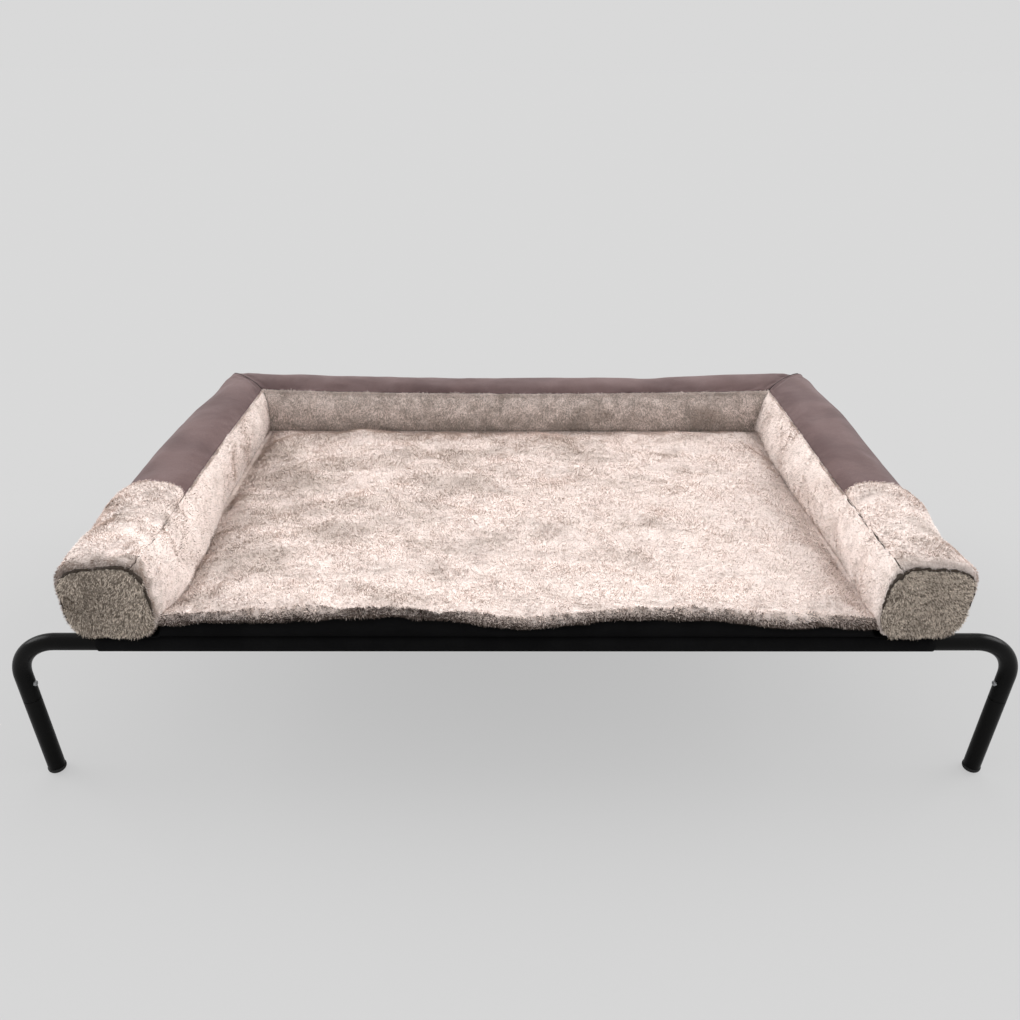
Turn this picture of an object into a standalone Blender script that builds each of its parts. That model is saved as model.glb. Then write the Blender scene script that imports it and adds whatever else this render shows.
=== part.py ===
"""Raised pet bed: steel tube frame, stretched sling and a padded mat with bolsters on three sides.

Metres, +Z up, +X to the right seen from the open front, which faces -Y.
The origin is on the floor under the middle of the frame.
"""
import math

import bmesh
import bpy

# Frame: overall size and tube
LENGTH = 1.296
DEPTH = 0.700
RAIL_Z = 0.2238
TUBE_R = 0.0110
TUBE_WALL = 0.0015
TUBE_SIDES = 16
BEND_R = 0.055
BEND_STEPS = 7

# Running and seating clearances
FIT = 0.0003
SOFT_GAP = 0.0005
OVERCUT = 0.006

# Legs, which plug into the down-turned ends of the rails
SPIGOT_LENGTH = 0.036
SPIGOT_FROM_BEND = 0.0028
SWAGE_LENGTH = 0.004

# Rubber foot plugs, pushed into the legs
PLUG_HEAD_R = 0.0118
PLUG_HEAD_HEIGHT = 0.0075
PLUG_ROUND = 0.0055
PLUG_STEM = 0.016
PLUG_WALL = 0.0025
PLUG_CHAMFER = 0.0010

# Spring buttons that lock the legs
BUTTON_R = 0.0038
BUTTON_ABOVE_SPLIT = 0.025
BUTTON_PROUD = 0.003
BUTTON_DOME = 0.0017
BUTTON_ARM = 0.0012
LEAF_WIDTH = 0.0076
LEAF_THICK = 0.0008
LEAF_DROP = 0.013
LEAF_TOP = 0.0055
LEAF_FROM_BORE = 0.0025
LEAF_STRAIGHT = 0.0010
LEAF_BEND_SHARE = 0.6

# Cross tubes that hold the frame apart
CROSS_FROM_END = 0.103
STUB_LENGTH = 0.035
STUB_CHAMFER = 0.0015
BOLT_FROM_RAIL = 0.014
BOLT_R = 0.0030
BOLT_HEAD_R = 0.0055
BOLT_HEAD_HEIGHT = 0.0030
BOLT_RIM = 0.0010
BOLT_FACE_R = 0.0034
BOLT_CHAMFER = 0.0006
BOLT_KEY_R = 0.0023
BOLT_KEY_DEPTH = 0.0016
BOLT_REACH = 0.002

# Sling
SLING_THICK = 0.0009
SLEEVE_FROM_CROSS = 0.020
SLEEVE_FROM_BOLT = 0.014
HEM_REACH = 0.030
SLEEVE_STEPS = 14
SLEEVE_TURN = math.radians(234)

# Pad: outline and bolster section
PAD_PAST_CROSS = 0.007
PAD_BEHIND_EDGE = 0.005
PAD_PAST_FRONT = 0.001
BOLSTER_WIDTH = 0.107
BOLSTER_HEIGHT = 0.1136
SECTION_POWER = 3.3
SECTION_SINK = 0.0018
COVER = 0.003
SEAM_DRAW = 0.0022
SEAM_SPREAD = 0.17
SEAM_GAP = 0.0006
BACK_SLUMP = 0.009
MIDDLE_SLUMP = 0.010
SLUMP_REACH = 0.385
RIPPLE = 0.0020
RIPPLE_X = 14
RIPPLE_Y = 12
RIPPLE_SHIFT_X = 3.0
RIPPLE_SHIFT_Y = 1.3
ARM_PLUSH_LENGTH = 0.199
ARM_PLUSH_SLANT = 0.06
END_CAP_EDGE = 0.003
END_CAP_CROWN = 0.004
END_CAP_INSET = 0.0006

# Pad: base cloth and mat
BASE_THICK = 0.0015
BASE_LIP = 0.0110
BASE_TUCK = 0.022
LIP_GAP = 0.0006
MAT_HEIGHT = 0.0266
MAT_EDGE_HEIGHT = 0.0151
MAT_SOFT_EDGE = 0.045
MAT_FRONT_FADE = 0.060
MAT_ROLL = 0.0125
MAT_WAVE = 0.0015
MAT_WAVE_X = 13
MAT_WAVE_Y = 17
MAT_WAVE_SHIFT = 0.7
SEAM_ABOVE_MAT = 0.002

# Worked out from the sizes above
LEG_X = LENGTH / 2 - TUBE_R
RAIL_Y = DEPTH / 2 - TUBE_R
FACET = math.cos(math.pi / TUBE_SIDES)
BORE_R = TUBE_R * FACET - TUBE_WALL
SPIGOT_R = BORE_R - FIT
SPLIT_Z = RAIL_Z - BEND_R - SPIGOT_FROM_BEND - SPIGOT_LENGTH
BUTTON_Z = SPLIT_Z + BUTTON_ABOVE_SPLIT
STUB_R = BORE_R - FIT
STEM_R = (TUBE_R - TUBE_WALL) * FACET - FIT
LEAF_X = SPIGOT_R - TUBE_WALL - LEAF_FROM_BORE
CROSS_X = LENGTH / 2 - CROSS_FROM_END
BOLT_Y = RAIL_Y - TUBE_R - BOLT_FROM_RAIL
SLEEVE_END_X = CROSS_X - SLEEVE_FROM_CROSS
SLEEVE_END_Y = BOLT_Y - SLEEVE_FROM_BOLT
SLEEVE_FACET = math.cos(SLEEVE_TURN / 2 / SLEEVE_STEPS)
SLEEVE_R = (TUBE_R + FIT) / SLEEVE_FACET + SLING_THICK / 2
SLING_Z = RAIL_Z + SLEEVE_R
PAD_BASE = SLING_Z + SLING_THICK / 2 + FIT
FILL_BASE = PAD_BASE + BASE_THICK + FIT
PAD_HALF_X = CROSS_X + PAD_PAST_CROSS
PAD_BACK = DEPTH / 2 - PAD_BEHIND_EDGE
PAD_FRONT = -DEPTH / 2 - PAD_PAST_FRONT
BOLSTER_TOP = PAD_BASE + BOLSTER_HEIGHT
HALF_W = BOLSTER_WIDTH / 2
SECTION_FOOT = PAD_BASE - SECTION_SINK
HALF_H = (BOLSTER_TOP - SECTION_FOOT) / 2
BOLSTER_Z = SECTION_FOOT + HALF_H
ARM_X = PAD_HALF_X - HALF_W
BACK_Y = PAD_BACK - HALF_W
MITRE = PAD_HALF_X - PAD_BACK
SEAM_Y = PAD_FRONT + END_CAP_EDGE + END_CAP_CROWN
TOP_SEAM = math.radians(135)
MAT_HALF = ARM_X - HALF_W - SOFT_GAP
MAT_BACK = BACK_Y - HALF_W - SOFT_GAP
ARM_PLUSH_BACK = PAD_FRONT + ARM_PLUSH_LENGTH
LIP_TOP = PAD_BASE + BASE_LIP
MAT_TOP = PAD_BASE + MAT_HEIGHT
MAT_EDGE_Z = PAD_BASE + MAT_EDGE_HEIGHT
INNER_SEAM_Z = MAT_EDGE_Z + SEAM_ABOVE_MAT


# Scene set-up
def clear_scene():
    for obj in list(bpy.data.objects):
        bpy.data.objects.remove(obj, do_unlink=True)


def new_collection(name):
    made = bpy.data.collections.new(name)
    bpy.context.scene.collection.children.link(made)
    return made


clear_scene()
PARTS = new_collection("pet_bed")
CUTTERS = new_collection("cutters")


def surface(name, colour, roughness, metallic=0.0):
    made = bpy.data.materials.new(name)
    made.use_nodes = True
    shader = made.node_tree.nodes["Principled BSDF"]
    shader.inputs["Base Color"].default_value = (*colour, 1.0)
    shader.inputs["Roughness"].default_value = roughness
    shader.inputs["Metallic"].default_value = metallic
    return made


POWDER_COAT = surface("powder_coat", (0.012, 0.012, 0.013), 0.35)
RUBBER = surface("rubber", (0.015, 0.015, 0.015), 0.8)
ZINC = surface("zinc", (0.62, 0.63, 0.65), 0.3, 1.0)
SPRING_STEEL = surface("spring_steel", (0.35, 0.36, 0.38), 0.35, 1.0)
SLING_MESH = surface("sling_mesh", (0.014, 0.014, 0.016), 0.75)
BASE_CLOTH = surface("base_cloth", (0.035, 0.036, 0.042), 0.85)
SUEDE = surface("suede", (0.17, 0.13, 0.13), 0.9)
PLUSH = surface("plush", (0.52, 0.46, 0.44), 0.95)
FIBRE = surface("fibre", (0.85, 0.85, 0.83), 1.0)


# Objects from meshes
def add_object(name, mesh, material=None):
    """Sub-part with its material, or a cutter where no material is given."""
    obj = bpy.data.objects.new(name, mesh)
    if material is None:
        CUTTERS.objects.link(obj)
        obj.hide_render = True
        obj.display_type = "WIRE"
        return obj
    PARTS.objects.link(obj)
    obj.data.materials.append(material)
    return obj


def mesh_from(name, bm, smooth=True):
    mesh = bpy.data.meshes.new(name)
    bm.to_mesh(mesh)
    bm.free()
    if smooth:
        mesh.shade_smooth()
        mesh.set_sharp_from_angle(angle=math.radians(35))
    return mesh


def boolean(obj, tool, operation):
    step = obj.modifiers.new(operation.lower() + "_" + tool.name, "BOOLEAN")
    step.operation = operation
    step.object = tool
    step.solver = "EXACT"


def rod(name, radius, start, end, axis, centre, sides=TUBE_SIDES):
    """Round cutter along X, Y or Z between two coordinates, through the centre given."""
    bm = bmesh.new()
    bmesh.ops.create_cone(bm, cap_ends=True, segments=sides, radius1=radius, radius2=radius,
                          depth=abs(end - start))
    obj = add_object(name, mesh_from(name, bm))
    middle = list(centre)
    middle["XYZ".index(axis)] = (start + end) / 2
    obj.location = middle
    if axis == "X":
        obj.rotation_euler = (0, math.pi / 2, 0)
    if axis == "Y":
        obj.rotation_euler = (math.pi / 2, 0, 0)
    return obj


def block(name, size, centre, material=None):
    bm = bmesh.new()
    bmesh.ops.create_cube(bm, size=1.0)
    bmesh.ops.scale(bm, vec=size, verts=bm.verts)
    obj = add_object(name, mesh_from(name, bm, smooth=False), material)
    obj.location = centre
    return obj


def turned(name, profile, location, material, steps=TUBE_SIDES, closed=False):
    """Turned piece: its profile is a list of (radius, height), run down the outer side."""
    bm = bmesh.new()
    points = [bm.verts.new((r, 0, z)) for r, z in profile]
    for first, second in zip(points, points[1:]):
        bm.edges.new((first, second))
    if closed:
        bm.edges.new((points[-1], points[0]))
    obj = add_object(name, mesh_from(name, bm, smooth=False), material)
    obj.location = location
    step = obj.modifiers.new("turn", "SCREW")
    step.angle = math.tau
    step.steps = steps
    step.render_steps = steps
    step.use_merge_vertices = True
    step.merge_threshold = 0.00001
    step.use_smooth_shade = True
    return obj


def hollow_tube(name, points, material):
    """Bent or straight tube along a path, with open ends and an even wall."""
    curve = bpy.data.curves.new(name + "_path", "CURVE")
    curve.dimensions = "3D"
    curve.bevel_depth = TUBE_R
    curve.bevel_resolution = TUBE_SIDES // 2 - 2
    curve.resolution_u = 1
    curve.use_fill_caps = False
    spline = curve.splines.new("POLY")
    spline.points.add(len(points) - 1)
    for knot, point in zip(spline.points, points):
        knot.co = (*point, 1.0)
    guide = bpy.data.objects.new(name + "_guide", curve)
    CUTTERS.objects.link(guide)
    bpy.context.view_layer.update()
    seen = guide.evaluated_get(bpy.context.evaluated_depsgraph_get())
    mesh = bpy.data.meshes.new_from_object(seen)
    mesh.materials.clear()
    mesh.shade_smooth()
    obj = add_object(name, mesh, material)
    obj.matrix_world = guide.matrix_world.copy()
    bpy.data.objects.remove(guide, do_unlink=True)
    wall = obj.modifiers.new("wall", "SOLIDIFY")
    wall.thickness = TUBE_WALL
    wall.offset = -1.0
    wall.use_even_offset = True
    return obj


# Frame
SIDES = {"left": -1, "right": 1}
ENDS = {"front": -1, "rear": 1}


def hoop_points(y):
    """Path of one rail: up the left end, over the top and down the right end."""
    half = [(LEG_X, y, SPLIT_Z + FIT)]
    centre_x = LEG_X - BEND_R
    centre_z = RAIL_Z - BEND_R
    for i in range(BEND_STEPS + 1):
        turn = math.pi / 2 * i / BEND_STEPS
        half.append((centre_x + BEND_R * math.cos(turn), y, centre_z + BEND_R * math.sin(turn)))
    left = [(-x, y0, z) for x, y0, z in half]
    return left + half[::-1]


def button_hole(side, end):
    x = side * LEG_X
    return rod(f"button_hole_{side}_{end}", BUTTON_R + FIT, x, x - side * (TUBE_R + OVERCUT), "X",
               (0, end * RAIL_Y, BUTTON_Z))


def bolt_hole(side, end):
    top = RAIL_Z + BOLT_REACH + FIT
    return rod(f"bolt_hole_{side}_{end}", BOLT_R + FIT, RAIL_Z - TUBE_R - OVERCUT, top, "Z",
               (side * CROSS_X, end * BOLT_Y, 0), sides=12)


def rail_seat(end):
    """Cutter that copes a tube's end to the round of a rail."""
    return rod(f"rail_seat_{end}", (TUBE_R + FIT) / FACET, -LENGTH / 2, LENGTH / 2, "X",
               (0, end * RAIL_Y, RAIL_Z))


def make_rails(button_holes):
    for word, end in ENDS.items():
        rail = hollow_tube(f"{word}_rail", hoop_points(end * RAIL_Y), POWDER_COAT)
        for side in SIDES.values():
            boolean(rail, button_holes[side, end], "DIFFERENCE")


def make_cross_tubes(seats, bolt_holes):
    for word, side in SIDES.items():
        x = side * CROSS_X
        path = [(x, -RAIL_Y, RAIL_Z), (x, RAIL_Y, RAIL_Z)]
        tube = hollow_tube(f"{word}_cross_tube", path, POWDER_COAT)
        for end in ENDS.values():
            boolean(tube, seats[end], "DIFFERENCE")
            boolean(tube, bolt_holes[side, end], "DIFFERENCE")


def make_stub(name, side, end, seat, hole):
    """Short tube coped and welded to a rail, on which a cross tube slides."""
    tip = TUBE_R + STUB_LENGTH
    inner = STUB_R - TUBE_WALL
    profile = [(inner, tip), (STUB_R - STUB_CHAMFER / 2, tip), (STUB_R, tip - STUB_CHAMFER),
               (STUB_R, 0), (inner, 0)]
    stub = turned(name, profile, (side * CROSS_X, end * RAIL_Y, RAIL_Z), POWDER_COAT, closed=True)
    stub.rotation_euler = (end * math.pi / 2, 0, 0)
    boolean(stub, seat, "DIFFERENCE")
    boolean(stub, hole, "DIFFERENCE")


def make_leg(name, side, end, hole):
    """Leg tube with its top swaged down to slide into the rail."""
    foot = PLUG_HEAD_HEIGHT + FIT
    top = SPLIT_Z + SPIGOT_LENGTH
    inner = TUBE_R - TUBE_WALL
    profile = [(SPIGOT_R, top), (SPIGOT_R, SPLIT_Z), (TUBE_R, SPLIT_Z), (TUBE_R, foot),
               (inner, foot), (inner, SPLIT_Z - SWAGE_LENGTH),
               (SPIGOT_R - TUBE_WALL, SPLIT_Z), (SPIGOT_R - TUBE_WALL, top)]
    profile = [(r, z - SPLIT_Z) for r, z in profile]
    leg = turned(name, profile, (side * LEG_X, end * RAIL_Y, SPLIT_Z), POWDER_COAT, closed=True)
    boolean(leg, hole, "DIFFERENCE")


def make_foot_plug(name, side, end):
    """Rubber foot: a rounded head under the leg and a hollow stem inside it."""
    top = PLUG_HEAD_HEIGHT + PLUG_STEM
    core = STEM_R - PLUG_WALL
    flat = PLUG_HEAD_R - PLUG_ROUND
    profile = [(0, PLUG_HEAD_HEIGHT), (core, PLUG_HEAD_HEIGHT), (core, top),
               (STEM_R - PLUG_CHAMFER, top), (STEM_R, top - PLUG_CHAMFER),
               (STEM_R, PLUG_HEAD_HEIGHT), (PLUG_HEAD_R, PLUG_HEAD_HEIGHT)]
    for i in range(4):
        turn = math.pi / 2 * i / 3
        profile.append((flat + PLUG_ROUND * math.cos(turn), PLUG_ROUND * (1 - math.sin(turn))))
    profile.append((0, 0))
    turned(name, profile, (side * LEG_X, end * RAIL_Y, 0), RUBBER)


def make_button(name, side, end):
    """Domed lock button on the moving arm of its leaf spring."""
    tip = TUBE_R + BUTTON_PROUD
    profile = [(0, tip)]
    for i in range(1, 4):
        turn = math.pi / 2 * i / 3
        profile.append((BUTTON_R * math.sin(turn), tip - BUTTON_DOME * (1 - math.cos(turn))))
    profile += [(BUTTON_R, LEAF_X), (0, LEAF_X)]
    place = (side * LEG_X, end * RAIL_Y, BUTTON_Z)
    button = turned(name, profile, place, ZINC, steps=12)
    button.rotation_euler = (0, -side * math.pi / 2, 0)
    height = LEAF_TOP + LEAF_DROP
    arm = block(f"arm_{name}", (BUTTON_ARM, LEAF_WIDTH, height),
                (side * (LEG_X - LEAF_X), end * RAIL_Y, BUTTON_Z + LEAF_TOP - height / 2))
    boolean(button, arm, "UNION")


def strip(name, path, width, thickness, material, placed):
    """Bent strip: a path of (x, z) drawn across a width along Y."""
    bm = bmesh.new()
    rows = []
    for x, z in path:
        rows.append([bm.verts.new((x, -width / 2, z)), bm.verts.new((x, width / 2, z))])
    for first, second in zip(rows, rows[1:]):
        bm.faces.new((first[0], first[1], second[1], second[0]))
    obj = add_object(name, mesh_from(name, bm), material)
    obj.location = placed
    wall = obj.modifiers.new("thickness", "SOLIDIFY")
    wall.thickness = thickness
    wall.offset = 0.0
    wall.use_even_offset = True
    return obj


def make_leaf_spring(name, side, end):
    """Fixed arm of the leaf spring, against the far wall, bent round under the moving arm."""
    bore = SPIGOT_R - TUBE_WALL
    far = math.sqrt((bore * FACET - FIT) ** 2 - (LEAF_WIDTH / 2) ** 2) - LEAF_THICK / 2
    bend = (far + LEAF_X) / 2
    tip = -LEAF_DROP - FIT
    low = tip - LEAF_STRAIGHT
    path = [(-far, LEAF_TOP)]
    for i in range(8):
        turn = math.pi * i / 7
        path.append((-far + bend * (1 - math.cos(turn)), low - bend * LEAF_BEND_SHARE * math.sin(turn)))
    path.append((LEAF_X, tip))
    path = [(-side * x, z) for x, z in path]
    strip(name, path, LEAF_WIDTH, LEAF_THICK, SPRING_STEEL, (side * LEG_X, end * RAIL_Y, BUTTON_Z))


def make_bolt(name, side, end):
    """Button-head screw from below, through the cross tube and its stub."""
    seat = RAIL_Z - TUBE_R - FIT
    low = seat - BOLT_HEAD_HEIGHT
    top = RAIL_Z + BOLT_REACH
    profile = [(0, top), (BOLT_R - BOLT_CHAMFER, top), (BOLT_R, top - BOLT_CHAMFER), (BOLT_R, seat),
               (BOLT_HEAD_R, seat), (BOLT_HEAD_R, seat - BOLT_RIM), (BOLT_FACE_R, low), (0, low)]
    place = (side * CROSS_X, end * BOLT_Y, 0)
    bolt = turned(name, profile, place, ZINC, steps=12)
    key = rod(f"key_{name}", BOLT_KEY_R, low - BOLT_KEY_DEPTH, low + BOLT_KEY_DEPTH, "Z", place,
              sides=6)
    boolean(bolt, key, "DIFFERENCE")


def make_frame():
    corners = [(side, end) for side in SIDES.values() for end in ENDS.values()]
    button_holes = {corner: button_hole(*corner) for corner in corners}
    bolt_holes = {corner: bolt_hole(*corner) for corner in corners}
    seats = {end: rail_seat(end) for end in ENDS.values()}
    make_rails(button_holes)
    make_cross_tubes(seats, bolt_holes)
    for end_word, end in ENDS.items():
        for side_word, side in SIDES.items():
            tail = f"{end_word}_{side_word}"
            make_stub(f"cross_stub_{tail}", side, end, seats[end], bolt_holes[side, end])
            make_leg(f"leg_{tail}", side, end, button_holes[side, end])
            make_foot_plug(f"foot_plug_{tail}", side, end)
            make_button(f"snap_button_{tail}", side, end)
            make_leaf_spring(f"button_spring_{tail}", side, end)
            make_bolt(f"cross_bolt_{tail}", side, end)


# Sling
def sleeve_section(edge):
    """Half section of the sling: hem, round the tube that lies at the edge, to the flat sheet."""
    hem_z = SLEEVE_R - SLING_THICK - SOFT_GAP
    reach = math.hypot(HEM_REACH, hem_z)
    start = math.atan2(hem_z, -HEM_REACH) + math.acos(SLEEVE_R / reach)
    points = [(edge - HEM_REACH, RAIL_Z + hem_z)]
    sweep = math.tau + math.pi / 2 - start
    for i in range(SLEEVE_STEPS + 1):
        turn = start + sweep * i / SLEEVE_STEPS
        points.append((edge + SLEEVE_R * math.cos(turn), RAIL_Z + SLEEVE_R * math.sin(turn)))
    return points


def sleeved_sheet(name, edge, width, material=None):
    half = sleeve_section(edge)
    path = half + [(-x, z) for x, z in half[::-1]]
    return strip(name, path, width * 2, SLING_THICK, material, (0, 0, 0))


def make_sling():
    """Sheet sleeved over both rails, joined to one sleeved over both cross tubes."""
    sling = sleeved_sheet("sling", RAIL_Y, SLEEVE_END_X, SLING_MESH)
    sling.rotation_euler = (0, 0, math.pi / 2)
    ends = sleeved_sheet("sling_ends", CROSS_X, SLEEVE_END_Y)
    boolean(sling, ends, "UNION")


# Pad: shared shapes
def section(phi, inset):
    """Offset from the bolster's centre line at one angle round it: a crowned, rounded square."""
    draw = SEAM_DRAW * math.exp(-((phi - TOP_SEAM) / SEAM_SPREAD) ** 2)
    cosine = math.cos(phi)
    sine = math.sin(phi)
    across = math.copysign(abs(cosine) ** (2 / SECTION_POWER), cosine) * (HALF_W - inset - draw)
    up = math.copysign(abs(sine) ** (2 / SECTION_POWER), sine) * (HALF_H - inset - draw)
    return across, up


def even_angles(start, end, count):
    """Angles round the section that are evenly spaced along its outline."""
    fine = 400
    angles = [start + (end - start) * i / fine for i in range(fine + 1)]
    lengths = [0.0]
    for first, second in zip(angles, angles[1:]):
        a = section(first, 0)
        b = section(second, 0)
        lengths.append(lengths[-1] + math.dist(a, b))
    picked = []
    i = 0
    for k in range(count + 1):
        goal = lengths[-1] * k / count
        while i < fine and lengths[i + 1] < goal:
            i += 1
        i = min(i, fine - 1)
        share = (goal - lengths[i]) / (lengths[i + 1] - lengths[i])
        picked.append(angles[i] + (angles[i + 1] - angles[i]) * share)
    return picked


def angle_at_height(z, start):
    """Angle round the section, from the start angle on, whose outline is at a height."""
    rise = (z - BOLSTER_Z) / HALF_H
    sine = math.copysign(abs(rise) ** (SECTION_POWER / 2), rise)
    turn = math.asin(max(-1.0, min(1.0, sine)))
    return math.pi - turn if start == "inner" else turn


def smooth(low, high, value):
    share = max(0.0, min(1.0, (value - low) / (high - low)))
    return share * share * (3 - 2 * share)


def settle(x, y, z):
    """Height of a point of the bolsters after they slump towards the back, and its middle."""
    share = (z - FILL_BASE) / (BOLSTER_TOP - FILL_BASE)
    middle = 1 - min(1.0, (x / ARM_X) ** 2)
    slump = smooth(BACK_Y - SLUMP_REACH, BACK_Y, y) * (BACK_SLUMP + MIDDLE_SLUMP * middle)
    ripple = math.sin(RIPPLE_X * x + RIPPLE_SHIFT_X) * math.sin(RIPPLE_Y * y + RIPPLE_SHIFT_Y)
    return z + (RIPPLE * ripple - slump) * share


def soft_slab(name, us, vs, place, material):
    """Closed slab: a grid pulled out into a second layer, then laid on two surfaces."""
    bm = bmesh.new()
    bmesh.ops.create_grid(bm, x_segments=len(us) - 1, y_segments=len(vs) - 1, size=1.0)
    seats = {}
    for vert in bm.verts:
        i = round((vert.co.x + 1) / 2 * (len(us) - 1))
        j = round((vert.co.y + 1) / 2 * (len(vs) - 1))
        seats[vert] = (us[i], vs[j])
    under = list(bm.verts)
    spots = {tuple(round(c, 5) for c in vert.co): seats[vert] for vert in under}
    pulled = bmesh.ops.extrude_face_region(bm, geom=bm.faces[:])
    over = [item for item in pulled["geom"] if isinstance(item, bmesh.types.BMVert)]
    upper = {vert: spots[tuple(round(c, 5) for c in vert.co)] for vert in over}
    lower = {vert: seats[vert] for vert in under}
    for vert, (u, v) in upper.items():
        vert.co = place(u, v, True)
    for vert, (u, v) in lower.items():
        vert.co = place(u, v, False)
    bmesh.ops.recalc_face_normals(bm, faces=bm.faces[:])
    if bm.calc_volume(signed=True) < 0:
        bmesh.ops.reverse_faces(bm, faces=bm.faces[:])
    return add_object(name, mesh_from(name, bm), material)


def fractions(count):
    return [i / count for i in range(count + 1)]


def bolster_point(phi, inset, along_arm):
    """Place on the bolster's skin: across and up, before it is set along its length."""
    across, up = section(phi, inset)
    centre = ARM_X if along_arm else BACK_Y
    return centre + across, max(BOLSTER_Z + up, FILL_BASE)


def plush_edge(x):
    """Where the plush end of an arm meets its suede, slanting back towards the outside."""
    return ARM_PLUSH_BACK + ARM_PLUSH_SLANT * (x - ARM_X)


def arm_place(side, start, end):
    """Function that lays a panel on an arm between two limits, each a function of x."""
    def place(phi, v, outer):
        inset = 0.0 if outer else COVER
        x, z = bolster_point(phi, inset, True)
        y = start(x) + (end(x) - start(x)) * v
        return side * x, y, settle(side * x, y, z)
    return place


def back_place(phi, v, outer):
    inset = 0.0 if outer else COVER
    y, z = bolster_point(phi, inset, False)
    reach = y + MITRE - SEAM_GAP / 2
    x = reach * (2 * v - 1)
    return x, y, settle(x, y, z)


def arm_front(x):
    return SEAM_Y


def arm_mitre(x):
    return x - MITRE - SEAM_GAP / 2


def plush_front_end(x):
    return plush_edge(x) - SEAM_GAP / 2


def suede_front_end(x):
    return plush_edge(x) + SEAM_GAP / 2


# Pad: covers
def cover_angles():
    """Angles of the inner panel and of the panel over the top and down the outside."""
    gap = SEAM_GAP / (1.5 * HALF_W)
    inner = even_angles(angle_at_height(INNER_SEAM_Z, "inner"), TOP_SEAM + gap, 5)
    low = angle_at_height(FILL_BASE + SOFT_GAP, "outer")
    outer = even_angles(TOP_SEAM - gap, low, 13)
    return inner, outer


def make_covers():
    inner, outer = cover_angles()
    for word, side in SIDES.items():
        soft_slab(f"{word}_arm_plush", outer, fractions(5), arm_place(side, arm_front, plush_front_end),
                  PLUSH)
        soft_slab(f"{word}_bolster_suede", outer, fractions(8),
                  arm_place(side, suede_front_end, arm_mitre), SUEDE)
        soft_slab(f"{word}_inner_plush", inner, fractions(10), arm_place(side, arm_front, arm_mitre),
                  PLUSH)
    soft_slab("back_bolster_suede", outer, fractions(12), back_place, SUEDE)
    soft_slab("back_inner_plush", inner, fractions(12), back_place, PLUSH)


def make_end_caps():
    """Crowned panels that close the front of each arm."""
    steps = [i / 4 - 1 for i in range(9)]
    for word, side in SIDES.items():
        def place(u, v, outer, side=side):
            radius = max(abs(u), abs(v))
            across, up = section(math.atan2(v, u), END_CAP_INSET)
            x = ARM_X + across * radius
            z = max(BOLSTER_Z + up * radius, PAD_BASE + FIT)
            y = SEAM_Y - SEAM_GAP
            z = settle(side * x, SEAM_Y, z)
            if outer:
                y -= END_CAP_EDGE - SEAM_GAP + END_CAP_CROWN * (1 - radius ** 4)
            return side * x, y, z
        soft_slab(f"{word}_end_cap", steps, steps, place, PLUSH)


# Pad: fillings
def fill_angles():
    inner, outer = cover_angles()
    return [angle_at_height(FILL_BASE + COVER, "inner")] + inner[:-1] + outer


def fill_across(k, top, angles):
    """Top of a filling follows the cover, its underside is a straight line across."""
    inset = COVER + SOFT_GAP
    if top:
        across, up = section(angles[k], inset)
        return across, max(BOLSTER_Z + up, FILL_BASE + FIT)
    share = k / (len(angles) - 1)
    first = section(angles[0], inset)[0] + SOFT_GAP
    last = section(angles[-1], inset)[0] - SOFT_GAP
    return first + (last - first) * share, FILL_BASE


def make_bolster_fills():
    angles = fill_angles()
    round_steps = range(len(angles))

    def arm(side):
        def place(k, v, top):
            across, z = fill_across(k, top, angles)
            x = ARM_X + across
            start = SEAM_Y + SOFT_GAP
            end = x - MITRE - SOFT_GAP
            y = start + (end - start) * v
            return side * x, y, settle(side * x, y, z)
        return place

    def back(k, v, top):
        across, z = fill_across(k, top, angles)
        y = BACK_Y + across
        x = (y + MITRE - SOFT_GAP) * (2 * v - 1)
        return x, y, settle(x, y, z)

    for word, side in SIDES.items():
        soft_slab(f"{word}_bolster_fill", round_steps, fractions(8), arm(side), FIBRE)
    soft_slab("back_bolster_fill", round_steps, fractions(12), back, FIBRE)


# Pad: mat and base
def fall(distance):
    """Share of the mat's height that is lost at a distance from a seam."""
    share = max(0.0, min(1.0, distance / MAT_SOFT_EDGE))
    return 1 - math.sin(share * math.pi / 2)


def mat_height(x, y):
    """Top of the mat: full in the middle and at the front, drawn down to the bolsters' seams."""
    open_front = max(0.0, min(1.0, (y - PAD_FRONT) / MAT_FRONT_FADE))
    drop = max(fall(MAT_HALF - abs(x)) * open_front, fall(MAT_BACK - y))
    wave = MAT_WAVE * math.sin(MAT_WAVE_X * x + MAT_WAVE_SHIFT) * math.cos(MAT_WAVE_Y * y)
    return MAT_TOP + wave * (1 - drop) - (MAT_TOP - MAT_EDGE_Z) * drop


def closing_up(count):
    """Shares from -1 to 1 that close up towards both ends."""
    return [-math.cos(math.pi * i / count) for i in range(count + 1)]


def mat_rows():
    """Rows from the back seam to the front, then over the rolled front edge: (y, turn)."""
    roll_y = PAD_FRONT + MAT_ROLL
    rows = [(MAT_BACK + (roll_y - MAT_BACK) * (share + 1) / 2, 0.0) for share in closing_up(12)]
    return rows + [(roll_y, math.pi / 2 * i / 4) for i in range(1, 5)]


def on_mat(x, row, depth):
    """Point on the mat's cover, or at a depth below it."""
    y, turn = row
    low = LIP_TOP + LIP_GAP
    rise = mat_height(x, y) - low - depth
    return x, y - (MAT_ROLL - depth) * math.sin(turn), low + rise * math.cos(turn)


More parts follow.
